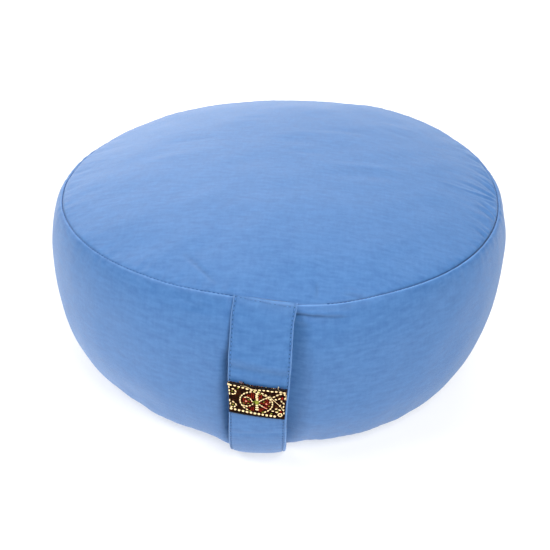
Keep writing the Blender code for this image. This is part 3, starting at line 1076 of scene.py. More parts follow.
# the pale blue of folds, painted for wear and as a highlight
WORN_AND_LIT_BLUE = (0.22, 0.42, 0.80)
COTTON_ROUGHNESS = 0.6
THREADS_PER_METRE = 1900.0
WEAVE_HEIGHT = 0.09 * MM
STREAK_STRENGTH = 0.62
GRAIN_STRENGTH = 0.22
# how far folds are painted towards that pale blue, for wear and as a painted highlight
FOLD_WEAR_AND_HIGHLIGHT = 0.32
GAP_SHADE = 0.10            # between the threads of the weave
GROOVE_SHADE = 0.25         # painted shade in the grooves of the stitches, at the seam's bottom and in the sharpest creases


def value_at(tree, name):
    """The value that was painted on the mesh's points under a name."""
    return add_node(tree, "Attribute", attribute_name=name).outputs["Fac"]


def cotton_material(name, drift, valley_shade):
    """Blue cotton in the three shared effects, with folds painted paler for wear and as a painted
    highlight, and painted shade in stitch grooves, at the seam's bottom and in creases. Thick
    threads add a pale blue, since they take less dye."""
    material, shader, tree = plain_material(
        name, COTTON_BLUE, COTTON_ROUGHNESS, Specular_IOR_Level=0.56, Sheen_Weight=0.08,
        Sheen_Roughness=0.45, Sheen_Tint=(0.9, 0.95, 1.0, 1.0))
    cloth = add_node(tree, "UVMap", uv_map="cloth").outputs["UV"]
    body = add_node(tree, "TexCoord").outputs["Object"]
    weave = {"Cloth Place": cloth, "Threads Per Metre": THREADS_PER_METRE}
    weave = place_group(tree, plain_weave, weave)
    threads = place_group(tree, slubs, {"Cloth Place": cloth})
    tone = {"Place": body, "Drift": drift, "Valley Shade": valley_shade}
    tone = place_group(tree, cloth_tone, tone)["Tone"]
    # painted shade between the threads, in stitch grooves, at the seam's bottom and in creases
    tone = maths(tree, "MULTIPLY_ADD", weave["Gap"], -GAP_SHADE, tone)
    tone = maths(tree, "MULTIPLY_ADD", value_at(tree, "painted_groove_shade"), -GROOVE_SHADE, tone)
    slub = maths(tree, "MULTIPLY", threads["Grain"], GRAIN_STRENGTH)
    slub = maths(tree, "MULTIPLY_ADD", threads["Streaks"], STREAK_STRENGTH, slub)
    slub = vector_of(tree, slub, slub, slub)
    dyed = vector_maths(tree, "MULTIPLY_ADD", (SLUB_BLUE, slub, scaled(tree, COTTON_BLUE, tone)))
    # folds painted paler, for wear and as a painted highlight
    fold = maths(tree, "MULTIPLY", value_at(tree, "fold_wear_and_highlight"), FOLD_WEAR_AND_HIGHLIGHT)
    colour = mixed(tree, fold, dyed, (*WORN_AND_LIT_BLUE, 1.0), "RGBA")
    rough = maths(tree, "MULTIPLY_ADD", threads["Streaks"], 0.15, COTTON_ROUGHNESS)
    height = maths(tree, "MULTIPLY_ADD", threads["Streaks"], 0.8, weave["Height"])
    dress(tree, shader, colour, rough, height, WEAVE_HEIGHT, 0.6)
    return material


cushion.data.materials.append(cotton_material("blue_cotton", 0.06, 0.35))
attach(cushion, "root")
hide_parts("cushion")
print("blue cotton on", cushion.name)

# %% [markdown]
# ## The strap
#
# The strap is a tube of the same cotton pressed flat, so it is two layers thick with a soft fold
# along each edge. It leaves the top seam, hangs a finger's width clear of the band, folds round
# near the floor and is caught in the base seam. A table of rows gives its run, as in the packed
# solid: reach and height of the middle of its thickness, half its width, how far it lies aside, how
# far it twists and how far its corners are drawn back.

# %% The strap's run
STRAP_THICKNESS = 2.0 * MM
STRAP_ROWS = np.array([
    (161.9, 135.4, 20.2, 0.9, 0.0, 0.0),
    (164.1, 133.6, 20.2, 0.9, 0.0, 0.0),
    (166.3, 130.0, 20.2, 0.5, 0.0, 0.0),
    (168.8, 124.0, 20.1, -0.1, 0.0, 0.0),
    (171.0, 115.0, 20.1, -0.2, 0.0, 0.0),
    (173.3, 105.0, 20.2, -0.3, 0.0, 0.0),
    (175.3, 95.0, 20.3, -0.4, 0.0, 0.0),
    (176.9, 82.0, 20.0, -0.4, 0.0, 0.0),
    (177.5, 68.0, 19.3, -0.3, 0.1, 0.0),
    (176.9, 54.0, 18.9, -0.2, 0.3, 0.0),
    (174.7, 40.0, 19.1, -0.2, 0.6, 0.0),
    (170.6, 28.0, 19.1, -0.3, 0.9, 0.3),
    (164.7, 17.8, 18.8, -0.5, 1.2, 1.0),
    (157.8, 10.0, 18.7, -0.5, 1.4, 2.0),
    (151.6, 4.9, 18.5, -0.5, 1.4, 2.6),
    (147.0, 2.3, 18.4, -0.5, 0.8, 1.8),
    (143.4, 2.2, 18.4, -0.5, 0.2, 0.6),
    (140.2, 4.0, 18.4, -0.5, 0.0, 0.0),
]) * MM


def strap_rows_at(place):
    """Rows at places along the table (0 to its last index), on a smooth curve."""
    last = len(STRAP_ROWS) - 1
    first = np.clip(place.astype(int), 0, last - 1)
    t = (place - first)[..., None]
    before = STRAP_ROWS[np.maximum(first - 1, 0)]
    start = STRAP_ROWS[first]
    end = STRAP_ROWS[first + 1]
    after = STRAP_ROWS[np.minimum(first + 2, last)]
    bend = 3 * (start - end) + after - before
    return start + t / 2 * (end - before + t * (2 * before - 5 * start + 4 * end - after + t * bend))


def strap_lengths():
    """Places in the table, and the length along the strap at each."""
    place = np.linspace(0, len(STRAP_ROWS) - 1, 800)
    rows = strap_rows_at(place)
    return place, running_total(np.hypot(np.diff(rows[:, 0]), np.diff(rows[:, 1])))


TABLE_PLACE, TABLE_LENGTH = strap_lengths()
STRAP_LENGTH = float(TABLE_LENGTH[-1])


def strap_middle(length, across):
    """Points in the middle of the strap's thickness, across from -1 to 1."""
    rows = strap_rows_at(np.interp(length, TABLE_LENGTH, TABLE_PLACE))
    reach, height, half_width, aside, twist, drawn = np.moveaxis(rows, -1, 0)
    reach = reach - twist * across - drawn * across ** 4
    x = aside + across * half_width
    return settle(reach, height, np.degrees(np.arcsin(x / reach)), False)


def strap_outward(length, across):
    """Unit directions that point away from the strap's outer face."""
    step = 0.5 * MM
    start = np.clip(length - step, 0, STRAP_LENGTH - 2 * step)
    down = strap_middle(start + 2 * step, across) - strap_middle(start, across)
    side = strap_middle(length, across + 0.05) - strap_middle(length, across - 0.05)
    outward = np.cross(down, side)
    return outward / np.linalg.norm(outward, axis=-1, keepdims=True)


print("strap", round(STRAP_LENGTH * 1000, 1), "mm along its middle")

# %% The strap's faces
HALF_WIDTH = 19.5 * MM
STITCH_PITCH = 2.9 * MM
LEFT_INSET = 1.45 * MM      # from the strap's left edge to its stitches
RIGHT_INSET = 1.5 * MM
RIGHT_INSET_LOW = 2.4 * MM  # the same near the floor, where the sewer drifted inward
INSET_DRIFT = (55 * MM, 90 * MM)    # along the strap
TOP_STITCH = (0.9 * MM, 3.1 * MM)   # from the top seam to the stitches, on the left and the right
GROOVE_WIDTH = 0.42 * MM
GROOVE_DEPTH = 0.45 * MM
EDGE_ROLL = 0.22 * MM       # how far the folded edge stands up beside its stitches
EDGE_ROLL_PLACE = -0.9 * MM
EDGE_ROLL_WIDTH = 0.5 * MM
PRESSED_FLAT = 0.84         # of its thickness
PLUMPNESS = 0.15 * MM
PLUMP_REACH = 7 * MM
STITCH_PUCKER = 0.07 * MM
STITCH_PUCKER_REACH = 3.2 * MM
EDGE_POINTS = 9             # round each folded edge
STRAP_CREASES = [           # distance along the strap on its left and right edges, height, width
    dict(left=46.2 * MM, right=50.8 * MM, rise=-0.70 * MM, width=2.6 * MM),
    dict(left=39.5 * MM, right=45.5 * MM, rise=0.40 * MM, width=3.2 * MM),
    dict(left=101 * MM, right=97 * MM, rise=-0.25 * MM, width=2.0 * MM),
    dict(left=16 * MM, right=19 * MM, rise=-0.18 * MM, width=3.0 * MM),
]


def between(across, left, right):
    """A value between those of the left edge (across -1) and the right edge (1)."""
    return left + (right - left) * (across + 1) / 2


def stitch_inset(length, across):
    """How far in from the edge the side stitches run."""
    right = RIGHT_INSET + (RIGHT_INSET_LOW - RIGHT_INSET) * ramp(length, *INSET_DRIFT)
    return np.where(across < 0, LEFT_INSET, right)


def from_stitches(length, across):
    """How far in from the side stitches, and how far below the top ones, a place lies."""
    from_edge = (1 - np.abs(across)) * HALF_WIDTH
    return from_edge - stitch_inset(length, across), length - between(across, *TOP_STITCH)


def groove_cover(length, across):
    """Where the stitches pull a groove: 1 along them, and 0 away from them."""
    beside, below = from_stitches(length, across)
    return np.maximum(hump(beside, 0, GROOVE_WIDTH), hump(below, 0, GROOVE_WIDTH))


def strap_half_thickness(length, across):
    """Half the strap's thickness: pinched under the stitches, plump beside them."""
    beside, below = from_stitches(length, across)
    roll = EDGE_ROLL * hump(beside, EDGE_ROLL_PLACE, EDGE_ROLL_WIDTH)
    swell = PLUMPNESS * ease(np.minimum(beside, below) / PLUMP_REACH)
    flat = STRAP_THICKNESS / 2 * PRESSED_FLAT
    return flat + swell + roll - GROOVE_DEPTH * groove_cover(length, across)


def crease_hump(crease, length, across, width):
    """A hump along a crease, which runs from the strap's left edge to its right."""
    return hump(length, between(across, crease["left"], crease["right"]), width)


def strap_ripple(length, across):
    """Creases of the whole strap, and the small puckers that the stitches pull."""
    creases = sum(crease["rise"] * crease_hump(crease, length, across, crease["width"])
                  for crease in STRAP_CREASES)
    beside, _ = from_stitches(length, across)
    drift = 2 * np.sin(length / (9 * MM)) + 4 * across
    wobble = np.sin(length * 2 * math.pi / STITCH_PITCH + drift)
    return creases + STITCH_PUCKER * wobble * np.exp(-np.abs(beside) / STITCH_PUCKER_REACH)


def strap_section():
    """Across (-1 to 1) and side (-1 to 1, where 1 is the outer face) of the points round a section,
    which crowd at the stitches."""
    turn = np.linspace(0, math.pi, EDGE_POINTS + 2)[1:-1]
    fold = STRAP_THICKNESS / 2 / HALF_WIDTH
    edge = np.linspace(fold, 4.2 * MM / HALF_WIDTH, 17) - 1
    flat = np.concatenate([edge, np.linspace(edge[-1], -edge[-1], 18)[1:-1], -edge[::-1]])
    right = 1 - fold + fold * np.sin(turn)
    across = np.concatenate([flat, right, flat[::-1], -right])
    side = np.concatenate([flat * 0 + 1, np.cos(turn), flat * 0 - 1, -np.cos(turn)])
    return across, side


def strap_surface(length, across, side=1.0, lift=0.0):
    """Points on the strap's outer face (side 1), its inner face (-1), or between them."""
    half = strap_half_thickness(length, across) * side + strap_ripple(length, across) + lift
    return strap_middle(length, across) + strap_outward(length, across) * half[..., None]


print("strap section of", len(strap_section()[0]), "points")

# %% Make the strap
STRAP_STEPS = 270
CREASE_SHADE = 0.50         # how deep the painted shade in the first crease is, against that in a stitch groove
CREASE_SHADE_WIDTH = 2.4 * MM
# the folds along the strap's top and edges are painted paler, for wear and as a painted highlight
TOP_FOLD_WEAR_AND_HIGHLIGHT = 0.45
TOP_FOLD_REACH = 0.8 * MM   # from the top stitches
EDGE_WEAR_AND_HIGHLIGHT_REACH = 1.1 * MM  # from the edge


def strap_uvs(quads, around, lengths):
    """Cloth places of the corners of the strap's quads."""
    row, column = np.divmod(quads, len(around))
    u = around[column]
    u[:, 2:] = np.where(column[:, 2:] == 0, around[-1] + around[1], u[:, 2:])
    return np.stack([u, lengths[row]], axis=-1)


def paint_strap(thing, length, across, side):
    """Folds along the edges and the top painted paler, for wear and as a painted highlight, and
    painted shade in the grooves and the darkest crease.
    """
    from_edge = (1 - np.abs(across)) * HALF_WIDTH
    top_fold = TOP_FOLD_WEAR_AND_HIGHLIGHT * ease(-from_stitches(length, across)[1] / TOP_FOLD_REACH)
    paint_values(thing, "fold_wear_and_highlight", np.maximum(ease(1 - from_edge / EDGE_WEAR_AND_HIGHLIGHT_REACH), top_fold))
    darkest = crease_hump(STRAP_CREASES[0], length, across, CREASE_SHADE_WIDTH)
    groove = np.maximum(groove_cover(length, across), CREASE_SHADE * darkest)
    paint_values(thing, "painted_groove_shade", groove * (side > 0.9))


def make_strap():
    """Double cloth with folded edges, closed at both ends."""
    across, side = strap_section()
    lengths = np.linspace(0, STRAP_LENGTH, STRAP_STEPS)
    length_grid, across_grid = np.meshgrid(lengths, across, indexing="ij")
    side_grid = np.broadcast_to(side, across_grid.shape)
    grid = strap_surface(length_grid, across_grid, side_grid)
    columns = len(across)
    quads = ring_faces(STRAP_STEPS, columns)[:, ::-1]
    thick = side * STRAP_THICKNESS / 2
    around = running_total(np.hypot(np.diff(across) * HALF_WIDTH, np.diff(thick)))
    uvs = strap_uvs(quads, around, lengths)
    corner_uvs = np.concatenate([uvs.reshape(-1, 2), np.zeros((2 * columns, 2))])
    faces = quads.tolist() + end_faces(STRAP_STEPS, columns)
    thing = mesh_object("strap_cloth", grid.reshape(-1, 3), faces, corner_uvs)
    paint_strap(thing, length_grid, across_grid, side_grid)
    return thing


strap = make_strap()
strap.data.materials.append(cotton_material("strap_cotton_cloth", 0.04, 0.3))
print("strap_cloth has", len(strap.data.polygons), "faces")

# %% [markdown]
# ## Stitches
#
# A lockstitch shows as a row of short threads, each going down into a needle hole at both ends. The
# thread matches the cloth, so what the eye sees is the holes, the little shadows and the groove
# that the thread pulls. Each stitch here is a short bent thread, and each hole a dark dimple.

# %% Make the stitches
THREAD_RADIUS = 0.17 * MM
THREAD_SIDES = 6
STITCH_GAP = 0.13           # of the pitch, from a needle hole to the thread's end
HOLE_CORNERS = 8
HOLE_LENGTH = 0.30 * MM     # half its size along the strap and across it
HOLE_WIDTH = 0.26 * MM
HOLE_RIM = 0.03 * MM        # above the cloth, and the hole's middle and its closed underside
HOLE_MIDDLE = -0.02 * MM
HOLE_UNDER = -0.25 * MM


def thread_tube(path, radii, outward):
    """Vertices and faces of a tube along a path, closed at both ends."""
    path = np.asarray(path)
    heading = np.gradient(path, axis=0)
    heading /= np.linalg.norm(heading, axis=1, keepdims=True)
    side = np.cross(heading, outward)
    side /= np.linalg.norm(side, axis=1, keepdims=True)
    up = np.cross(side, heading)
    turn = np.arange(THREAD_SIDES)[:, None] * 2 * math.pi / THREAD_SIDES
    ring = np.cos(turn) * side[:, None] + np.sin(turn) * up[:, None]
    vertices = path[:, None] + ring * np.asarray(radii)[:, None, None]
    quads = ring_faces(len(path), THREAD_SIDES).tolist()
    return vertices.reshape(-1, 3), quads + end_faces(len(path), THREAD_SIDES)


def joined(parts):
    """Several sets of vertices and faces as one."""
    faces = []
    count = 0
    for vertices, part_faces in parts:
        faces += [[corner + count for corner in face] for face in part_faces]
        count += len(vertices)
    return np.concatenate([vertices for vertices, _ in parts]), faces


def stitch(start, end, side):
    """One stitch between two places (length, across) on a face of the strap."""
    share = np.linspace(0, 1, 7)
    length, across = [a + (b - a) * share for a, b in zip(start, end)]
    arch = np.sin(share * math.pi)
    path = strap_surface(length, across, side, THREAD_RADIUS * (arch ** 0.6 - 1.1) * side)
    radii = THREAD_RADIUS * (0.55 + 0.45 * arch ** 0.5)
    return thread_tube(path, radii, strap_outward(length, across) * side)


def needle_places():
    """Rows of needle holes, as (length, across): down each side and along the top."""
    rows = []
    for side in (-1, 1):
        first = between(side, *TOP_STITCH)
        lengths = first + np.arange(int((STRAP_LENGTH - first) / STITCH_PITCH) + 1) * STITCH_PITCH
        inset = stitch_inset(lengths, side)
        rows.append(list(zip(lengths, side * (1 - inset / HALF_WIDTH))))
    start, end = rows[0][0][1], rows[1][0][1]
    across = np.linspace(start, end, round((end - start) * HALF_WIDTH / STITCH_PITCH) + 1)
    rows.append(list(zip(between(across, *TOP_STITCH), across)))
    return rows


def make_stitches():
    """All stitches of the strap, on both faces, as one piece."""
    parts = []
    for row in needle_places():
        for here, after in zip(row[:-1], row[1:]):
            start = [a + (b - a) * STITCH_GAP for a, b in zip(here, after)]
            end = [b - (b - a) * STITCH_GAP for a, b in zip(here, after)]
            parts += [stitch(start, end, side) for side in (1.0, -1.0)]
    return mesh_object("strap_stitches", *joined(parts))


def needle_hole(length, across):
    """A small dimple with a raised rim and a closed underside."""
    turn = np.arange(HOLE_CORNERS) * 2 * math.pi / HOLE_CORNERS
    lengths = np.append(length + HOLE_LENGTH * np.cos(turn), [length, length])
    acrosses = np.append(across + HOLE_WIDTH * np.sin(turn) / HALF_WIDTH, [across, across])
    lifts = np.array([HOLE_RIM] * HOLE_CORNERS + [HOLE_MIDDLE, HOLE_UNDER])
    faces = [[k, (k + 1) % HOLE_CORNERS, HOLE_CORNERS] for k in range(HOLE_CORNERS)]
    faces += [[beside, here, HOLE_CORNERS + 1] for here, beside, _ in faces]
    return strap_surface(lengths, acrosses, 1.0, lifts), faces


def make_needle_holes():
    """A hole at each place where the needle went through the outer face, coloured dark as painted
    shade.
    """
    parts = [needle_hole(*place) for row in needle_places() for place in row]
    return mesh_object("needle_holes", *joined(parts))


stitches = make_stitches()
stitches.data.materials.append(yarn_material("sewing_thread", (0.060, 0.215, 0.54), 0.5))
holes = make_needle_holes()
holes.data.materials.append(yarn_material("needle_hole_shade", (0.006, 0.02, 0.07), 0.8, 0, 0.1))
print("strap_stitches has", len(stitches.data.polygons), "faces, needle_holes",
      len(holes.data.polygons))

# %% [markdown]
# ## The seam's thread
#
# The filling pulls the top seam open a little, so the thread inside it shows as a row of dashes at
# the bottom of the valley, coloured far darker than the cloth as painted shade of the valley. Each
# dash is a short thread that bridges the two cloths.

# %% Make the seam's stitches
SEAM_STITCHES = 360
SEAM_THREAD_RADIUS = 0.30 * MM
DRAWN_SHUT = (-7.2, 14.5)   # degrees
FINER = dict(angle=-28, spread=34, share=0.4)


def seam_places(angle):
    """Points at the bottom of the top seam's valley, at angles round from the strap."""
    row = points[int(np.argmin(np.abs(places - TOP_SEAM)))]
    looped = np.append(angles, angles[0] + 360)
    closed = np.concatenate([row, row[:1]])
    return np.stack([np.interp(angle, looped, closed[:, k]) for k in range(3)], axis=-1)


def make_seam_stitches():
    """Short threads along the top seam, coloured dark as painted shade of the valley, uneven in
    length, and finer in front on the left.
    Under the strap and just beside it, where the seam is drawn shut, there are none."""
    chance = np.random.default_rng(41)
    parts = []
    for k in range(SEAM_STITCHES):
        middle = -180 + (k + 0.5) * 360 / SEAM_STITCHES
        half = chance.uniform(0.20, 0.36)
        lift = chance.uniform(0.10, 0.45) * MM
        if DRAWN_SHUT[0] < middle < DRAWN_SHUT[1] or abs(middle) > 179.4:
            continue
        path = seam_places(np.linspace(middle - half, middle + half, 5))
        outward = path * np.array([1.0, 1.0, 0.0])
        outward = outward / np.linalg.norm(outward, axis=1, keepdims=True) + np.array([0, 0, 0.8])
        outward /= np.linalg.norm(outward, axis=1, keepdims=True)
        radius = SEAM_THREAD_RADIUS * (1 - FINER["share"] * rim_hump(middle, FINER))
        radii = radius * np.array([0.5, 0.9, 1.0, 0.9, 0.5])
        parts.append(thread_tube(path + outward * (lift + 0.25 * MM), radii, outward))
    return mesh_object("seam_stitches", *joined(parts))


seam_stitches = make_seam_stitches()
# the seam's thread is coloured dark as painted shade of the seam's valley
seam_stitches.data.materials.append(yarn_material("seam_thread_and_shade", (0.004, 0.045, 0.18), 0.9, 0, 0))
print("seam_stitches has", len(seam_stitches.data.polygons), "faces")

# %% [markdown]
# ## The woven ribbon
#
# A jacquard ribbon has a dark ground and bright threads that float on it. It is a common folk
# pattern: a flower in a ring of gold beads, with beads along both borders and in the corners.
# Floats are raised, so each one is a small plump pad here and not only a colour. The ribbon was cut
# from a longer one, so its top edge frays, and a few floats have come loose. Places on the ribbon
# are in millimetres, from its middle, to the right and up.

# %% The ribbon's cloth
TRIM_TOP = 57.9 * MM
TRIM_TILT = 1.5 * MM        # how far its right end hangs below its middle
TRIM_LENGTH = 23.1 * MM
TRIM_SKEW = 0.2 * MM
TRIM_THICKNESS = 0.9 * MM
TRIM_GAP = 0.35 * MM
TRIM_HALF = 19.0            # mm, half its width
TRIM_HIGH = 12.3            # mm, half its height
TRIM_SHARE = 0.950          # its width and its shift to the left, as shares of the strap's half
TRIM_SHIFT = 0.022
TRIM_WAVE = 0.12 * MM
TRIM_RAGGED = 0.22          # mm, how uneven its cut edge is
TRIM_ROUNDING = 0.25 * MM   # of its edges
TRIM_COLUMNS = 120
TRIM_ROWS = 80


def trim_point(x, y, lift=0.0):
    """A point over the ribbon's outer face, from millimetres across and up and metres of lift."""
    x = np.asarray(x, dtype=float)
    y = np.asarray(y, dtype=float)
    across = x / TRIM_HALF * TRIM_SHARE - TRIM_SHIFT
    share = 0.5 - y / (2 * TRIM_HIGH)
    length = TRIM_TOP + TRIM_TILT * across + share * (TRIM_LENGTH + TRIM_SKEW * across)
    wave = TRIM_WAVE * np.sin(x * 0.9 + 1.3 * np.sin(y * 0.4)) * (y > 0) * y / TRIM_HIGH
    stand = STRAP_THICKNESS / 2 + TRIM_GAP + TRIM_THICKNESS + wave + lift
    middle = strap_middle(length, across)
    return middle + strap_outward(length, across) * np.asarray(stand)[..., None]


def make_ribbon():
    """The ribbon's ground: a thin closed sheet that follows the strap, with rounded edges."""
    x, y = np.meshgrid(np.linspace(-TRIM_HALF, TRIM_HALF, TRIM_COLUMNS),
                       np.linspace(TRIM_HIGH, -TRIM_HIGH, TRIM_ROWS))
    ragged = TRIM_RAGGED * np.sin(x * 2.1) * np.sin(x * 0.7 + 1) * hump(y, TRIM_HIGH, 2.0)
    edge = np.minimum(TRIM_HALF - np.abs(x), TRIM_HIGH - np.abs(y))
    rounding = TRIM_ROUNDING * hump(edge, 0, 0.45)
    front = trim_point(x, y + ragged, -rounding)
    back = trim_point(x, y + ragged, -TRIM_THICKNESS + rounding)
    vertices = np.concatenate([front.reshape(-1, 3), back.reshape(-1, 3)])
    grid = np.arange(x.size).reshape(x.shape)
    corners = [grid[:-1, :-1], grid[1:, :-1], grid[1:, 1:], grid[:-1, 1:]]
    quads = np.stack(corners, axis=-1).reshape(-1, 4)
    other = quads[:, ::-1] + x.size
    rim = np.concatenate([grid[0, :-1], grid[:-1, -1], grid[-1, :0:-1], grid[:0:-1, 0]])
    after = np.roll(rim, -1)
    wall = np.stack([rim, after, after + x.size, rim + x.size], axis=-1)
    faces = np.concatenate([quads, other, wall])
    flat = np.stack([x.ravel(), y.ravel()], axis=-1) * MM
    uvs = np.concatenate([flat, flat])[faces]
    return mesh_object("trim_ribbon", vertices, faces.tolist(), uvs.reshape(-1, 2))


def ribbon_material():
    """Black-brown ribbon ground, ribbed by its warp, with rust threads that show through."""
    material, shader, tree = plain_material("ribbon_ground", (0.01, 0.004, 0.003), 0.7,
                                            Specular_IOR_Level=0.03)
    cloth = add_node(tree, "UVMap", uv_map="cloth").outputs["UV"]
    weave = place_group(tree, plain_weave, {"Cloth Place": cloth, "Threads Per Metre": 1400.0})
    streaks = {"Cloth Place": cloth, "Streak Width": 0.0006, "Streak Length": 0.004}
    show = ranged(tree, place_group(tree, slubs, streaks)["Streaks"], -0.02, 0.28)
    colour = mixed(tree, show, (0.004, 0.0008, 0.0004, 1), (0.075, 0.016, 0.004, 1), "RGBA")
    rough = maths(tree, "MULTIPLY_ADD", weave["Height"], -0.2, 0.8)
    dress(tree, shader, colour, rough, weave["Height"], 0.12 * MM, 0.8)
    return material


ribbon = make_ribbon()
ribbon.data.materials.append(ribbon_material())
print("trim_ribbon has", len(ribbon.data.polygons), "faces")

# %% Pads and yarns on the ribbon
FLOAT_LIFT = 0.42 * MM
FLOAT_ROOT = -0.05 * MM     # where a float's outline goes into the ribbon


def pad(x, y, half_length, half_width, turn=0.0, lift=1.0, corners=10, rings=3):
    """A plump oval pad over the ribbon, from millimetres, degrees and a share of the usual lift."""
    steps = np.arange(corners) * 2 * math.pi / corners
    turn = math.radians(turn)
    a = half_length * np.cos(steps)
    b = half_width * np.sin(steps)
    outline = np.stack([x + a * math.cos(turn) - b * math.sin(turn),
                        y + a * math.sin(turn) + b * math.cos(turn)], axis=-1)
    middle = outline.mean(axis=0)
    vertices = []
    for share in np.arange(rings) / rings:
        ring = outline + (middle - outline) * share ** 1.6
        swell = FLOAT_LIFT * lift * math.sin(share * math.pi / 2) ** 0.6 if share else FLOAT_ROOT
        vertices.append(trim_point(ring[:, 0], ring[:, 1], swell))
    vertices.append(trim_point(middle[:1], middle[1:], FLOAT_LIFT * lift))
    faces = np.roll(ring_faces(rings, corners)[:, ::-1], 1, axis=1).tolist()
    under, last = end_faces(rings, corners)
    last = last[::-1]
    faces += [[here, after, rings * corners] for here, after in zip(last, last[1:] + last[:1])]
    return np.concatenate(vertices), faces + [under[::-1]]


def yarn(points, radius, lift=0.2):
    """A loose yarn over the ribbon through points (x, y) in millimetres, lifted by millimetres."""
    points = np.asarray(points, dtype=float)
    steps = np.linspace(0, len(points) - 1, 4 * len(points))
    x, y = [np.interp(steps, np.arange(len(points)), places) for places in points.T]
    path = trim_point(x, y, (lift + radius) * MM)
    outward = strap_outward(np.full(len(steps), TRIM_TOP + TRIM_LENGTH / 2), x / TRIM_HALF)
    return thread_tube(path, np.full(len(path), radius * MM), outward)


print("a pad stands", round(FLOAT_LIFT / MM, 2), "mm above the ribbon")

# %% Where the gold lies
FLOWER_X = -0.6             # mm
FLOWER_Y = -0.7
FLOWER_HALF_WIDTH = 10.8
FLOWER_HALF_HEIGHT = 8.5
BORDER_BEADS = 14
BORDER_PITCH = 2.68         # mm
BORDER_HEIGHTS = (9.9, -10.15)
RING_BEADS = 26
# floats of the flower's gold lines, the left corners and the right side: x and y of the middle in
# mm, heading in degrees, half the length in mm
PETAL_BEADS = [
    (-0.2, 6.4, 0, 1.2), (-0.3, 4.7, 0, 1.1), (-0.2, 3.1, 0, 1.1), (-0.1, 1.6, 0, 1.0),
    (-0.1, -3.1, 0, 1.0), (0.0, -4.8, 0, 1.2), (0.1, -6.6, 0, 1.4), (-8.0, 2.2, 20, 0.9),
    (-6.2, 2.6, -15, 0.9), (-4.4, 1.5, -50, 0.9), (-3.5, 0.0, -60, 0.7), (-9.0, -4.7, -12, 0.9),
    (-7.0, -5.0, 0, 0.9), (-4.8, -4.1, 28, 0.9), (-3.0, -2.6, 45, 0.8), (1.6, 0.6, 45, 0.7),
    (2.7, 1.6, 40, 0.8), (4.1, 2.7, 35, 0.9), (5.9, 3.7, 30, 0.9), (7.6, 4.6, 25, 0.9),
    (1.7, -2.1, -38, 0.8), (3.3, -3.2, -35, 0.9), (8.6, 3.2, 80, 0.7), (8.4, 1.0, 85, 0.7)]
CORNER_BEADS = [
    (-18.4, 8.0, 90, 1.0), (-18.3, 5.4, 90, 0.8), (-18.2, 2.9, 90, 1.0), (-15.9, 7.1, 10, 1.0),
    (-14.2, 5.8, -60, 1.0), (-14.6, 3.8, 50, 0.9), (-16.1, 3.0, 0, 0.8), (-18.3, -2.6, 90, 1.0),
    (-17.9, -5.2, 75, 1.0), (-15.9, -3.3, -30, 1.0), (-14.1, -5.2, -60, 1.0),
    (-15.0, -7.1, 45, 0.9), (-17.2, -7.6, 0, 0.9)]
SIDE_BEADS = [
    (10.8, 5.5, 30, 1.0), (12.9, 7.2, 35, 1.0), (15.1, 8.5, 20, 1.0), (17.6, 8.2, 90, 0.9),
    (12.2, 3.6, -20, 0.9), (14.5, 4.6, 40, 0.9), (16.0, 2.6, -50, 0.9), (17.4, 1.1, -40, 0.9),
    (18.0, 5.0, 85, 0.9), (15.2, -1.1, 60, 0.9), (17.5, -1.8, 75, 0.9), (12.8, -4.1, 20, 1.0),
    (15.0, -4.7, -10, 1.0), (17.8, -4.5, 85, 0.8), (10.6, -6.2, 0, 1.0), (13.2, -6.9, -10, 1.1),
    (18.1, -7.3, 85, 0.8)]
WHEEL = (15.6, -9.0, 1.25)  # the last bead of the bottom row is a little wheel: x, y, radius
LOOSE_GOLD = [              # floats that have come loose: their points, radius and lift in mm
    ([(-11.0, 11.4), (-7.4, 10.9), (-2.0, 9.4)], 0.15, 0.2),
    ([(8.0, 6.4), (10.2, 3.6), (12.6, 1.4), (15.6, -1.2), (17.4, -4.4)], 0.17, 0.4),
    ([(12.6, 11.6), (15.4, 10.6), (18.4, 8.4), (18.9, 4.0)], 0.15, 0.2),
    ([(3.2, 6.6), (6.4, 5.1), (8.8, 2.6)], 0.15, 0.3),
]


def border_beads():
    """Long beads under the top edge, and rounder, larger ones over the bottom edge."""
    chance = np.random.default_rng(21)
    parts = []
    for k in range(BORDER_BEADS):
        x = (k - (BORDER_BEADS - 1) / 2) * BORDER_PITCH
        size = chance.uniform(0.85, 1.12)
        top = BORDER_HEIGHTS[0] - 0.9 * hump(x, -4, 5) + chance.uniform(-0.2, 0.2)
        parts.append(pad(x, top, 1.0 * size, 0.56, chance.uniform(-8, 8)))
        if k < BORDER_BEADS - 2:
            parts.append(pad(x, BORDER_HEIGHTS[1] - 0.045 * x, 0.98 * size, 0.84, lift=1.2))
    parts.append(pad(-18.6, 10.3, 0.9, 1.1))
    x, y, radius = WHEEL
    for turn in np.arange(6) * math.pi / 3:
        place = (x + radius * math.cos(turn), y + radius * math.sin(turn))
        parts.append(pad(*place, 0.72, 0.5, math.degrees(turn) + 90))
    return parts


def ring_beads():
    """The ring round the flower, open where the bottom row hides it."""
    parts = []
    for turn in np.arange(RING_BEADS) * 2 * math.pi / RING_BEADS:
        heading = math.degrees(math.atan2(FLOWER_HALF_HEIGHT * math.cos(turn),
                                          -FLOWER_HALF_WIDTH * math.sin(turn)))
        x = FLOWER_X + FLOWER_HALF_WIDTH * math.cos(turn)
        y = FLOWER_Y + FLOWER_HALF_HEIGHT * math.sin(turn)
        if y > -8.3:
            parts.append(pad(x, y, 0.95, 0.48, heading))
    return parts


def charted_beads():
    """Floats of the petals' lines, of the left corners and of the crossed lines on the right."""
    petals = [pad(x, y, half_length, 0.38 if heading else 0.62, heading)
              for x, y, heading, half_length in PETAL_BEADS]
    return petals + [pad(x, y, half_length, 0.48, heading)
                     for x, y, heading, half_length in CORNER_BEADS + SIDE_BEADS]


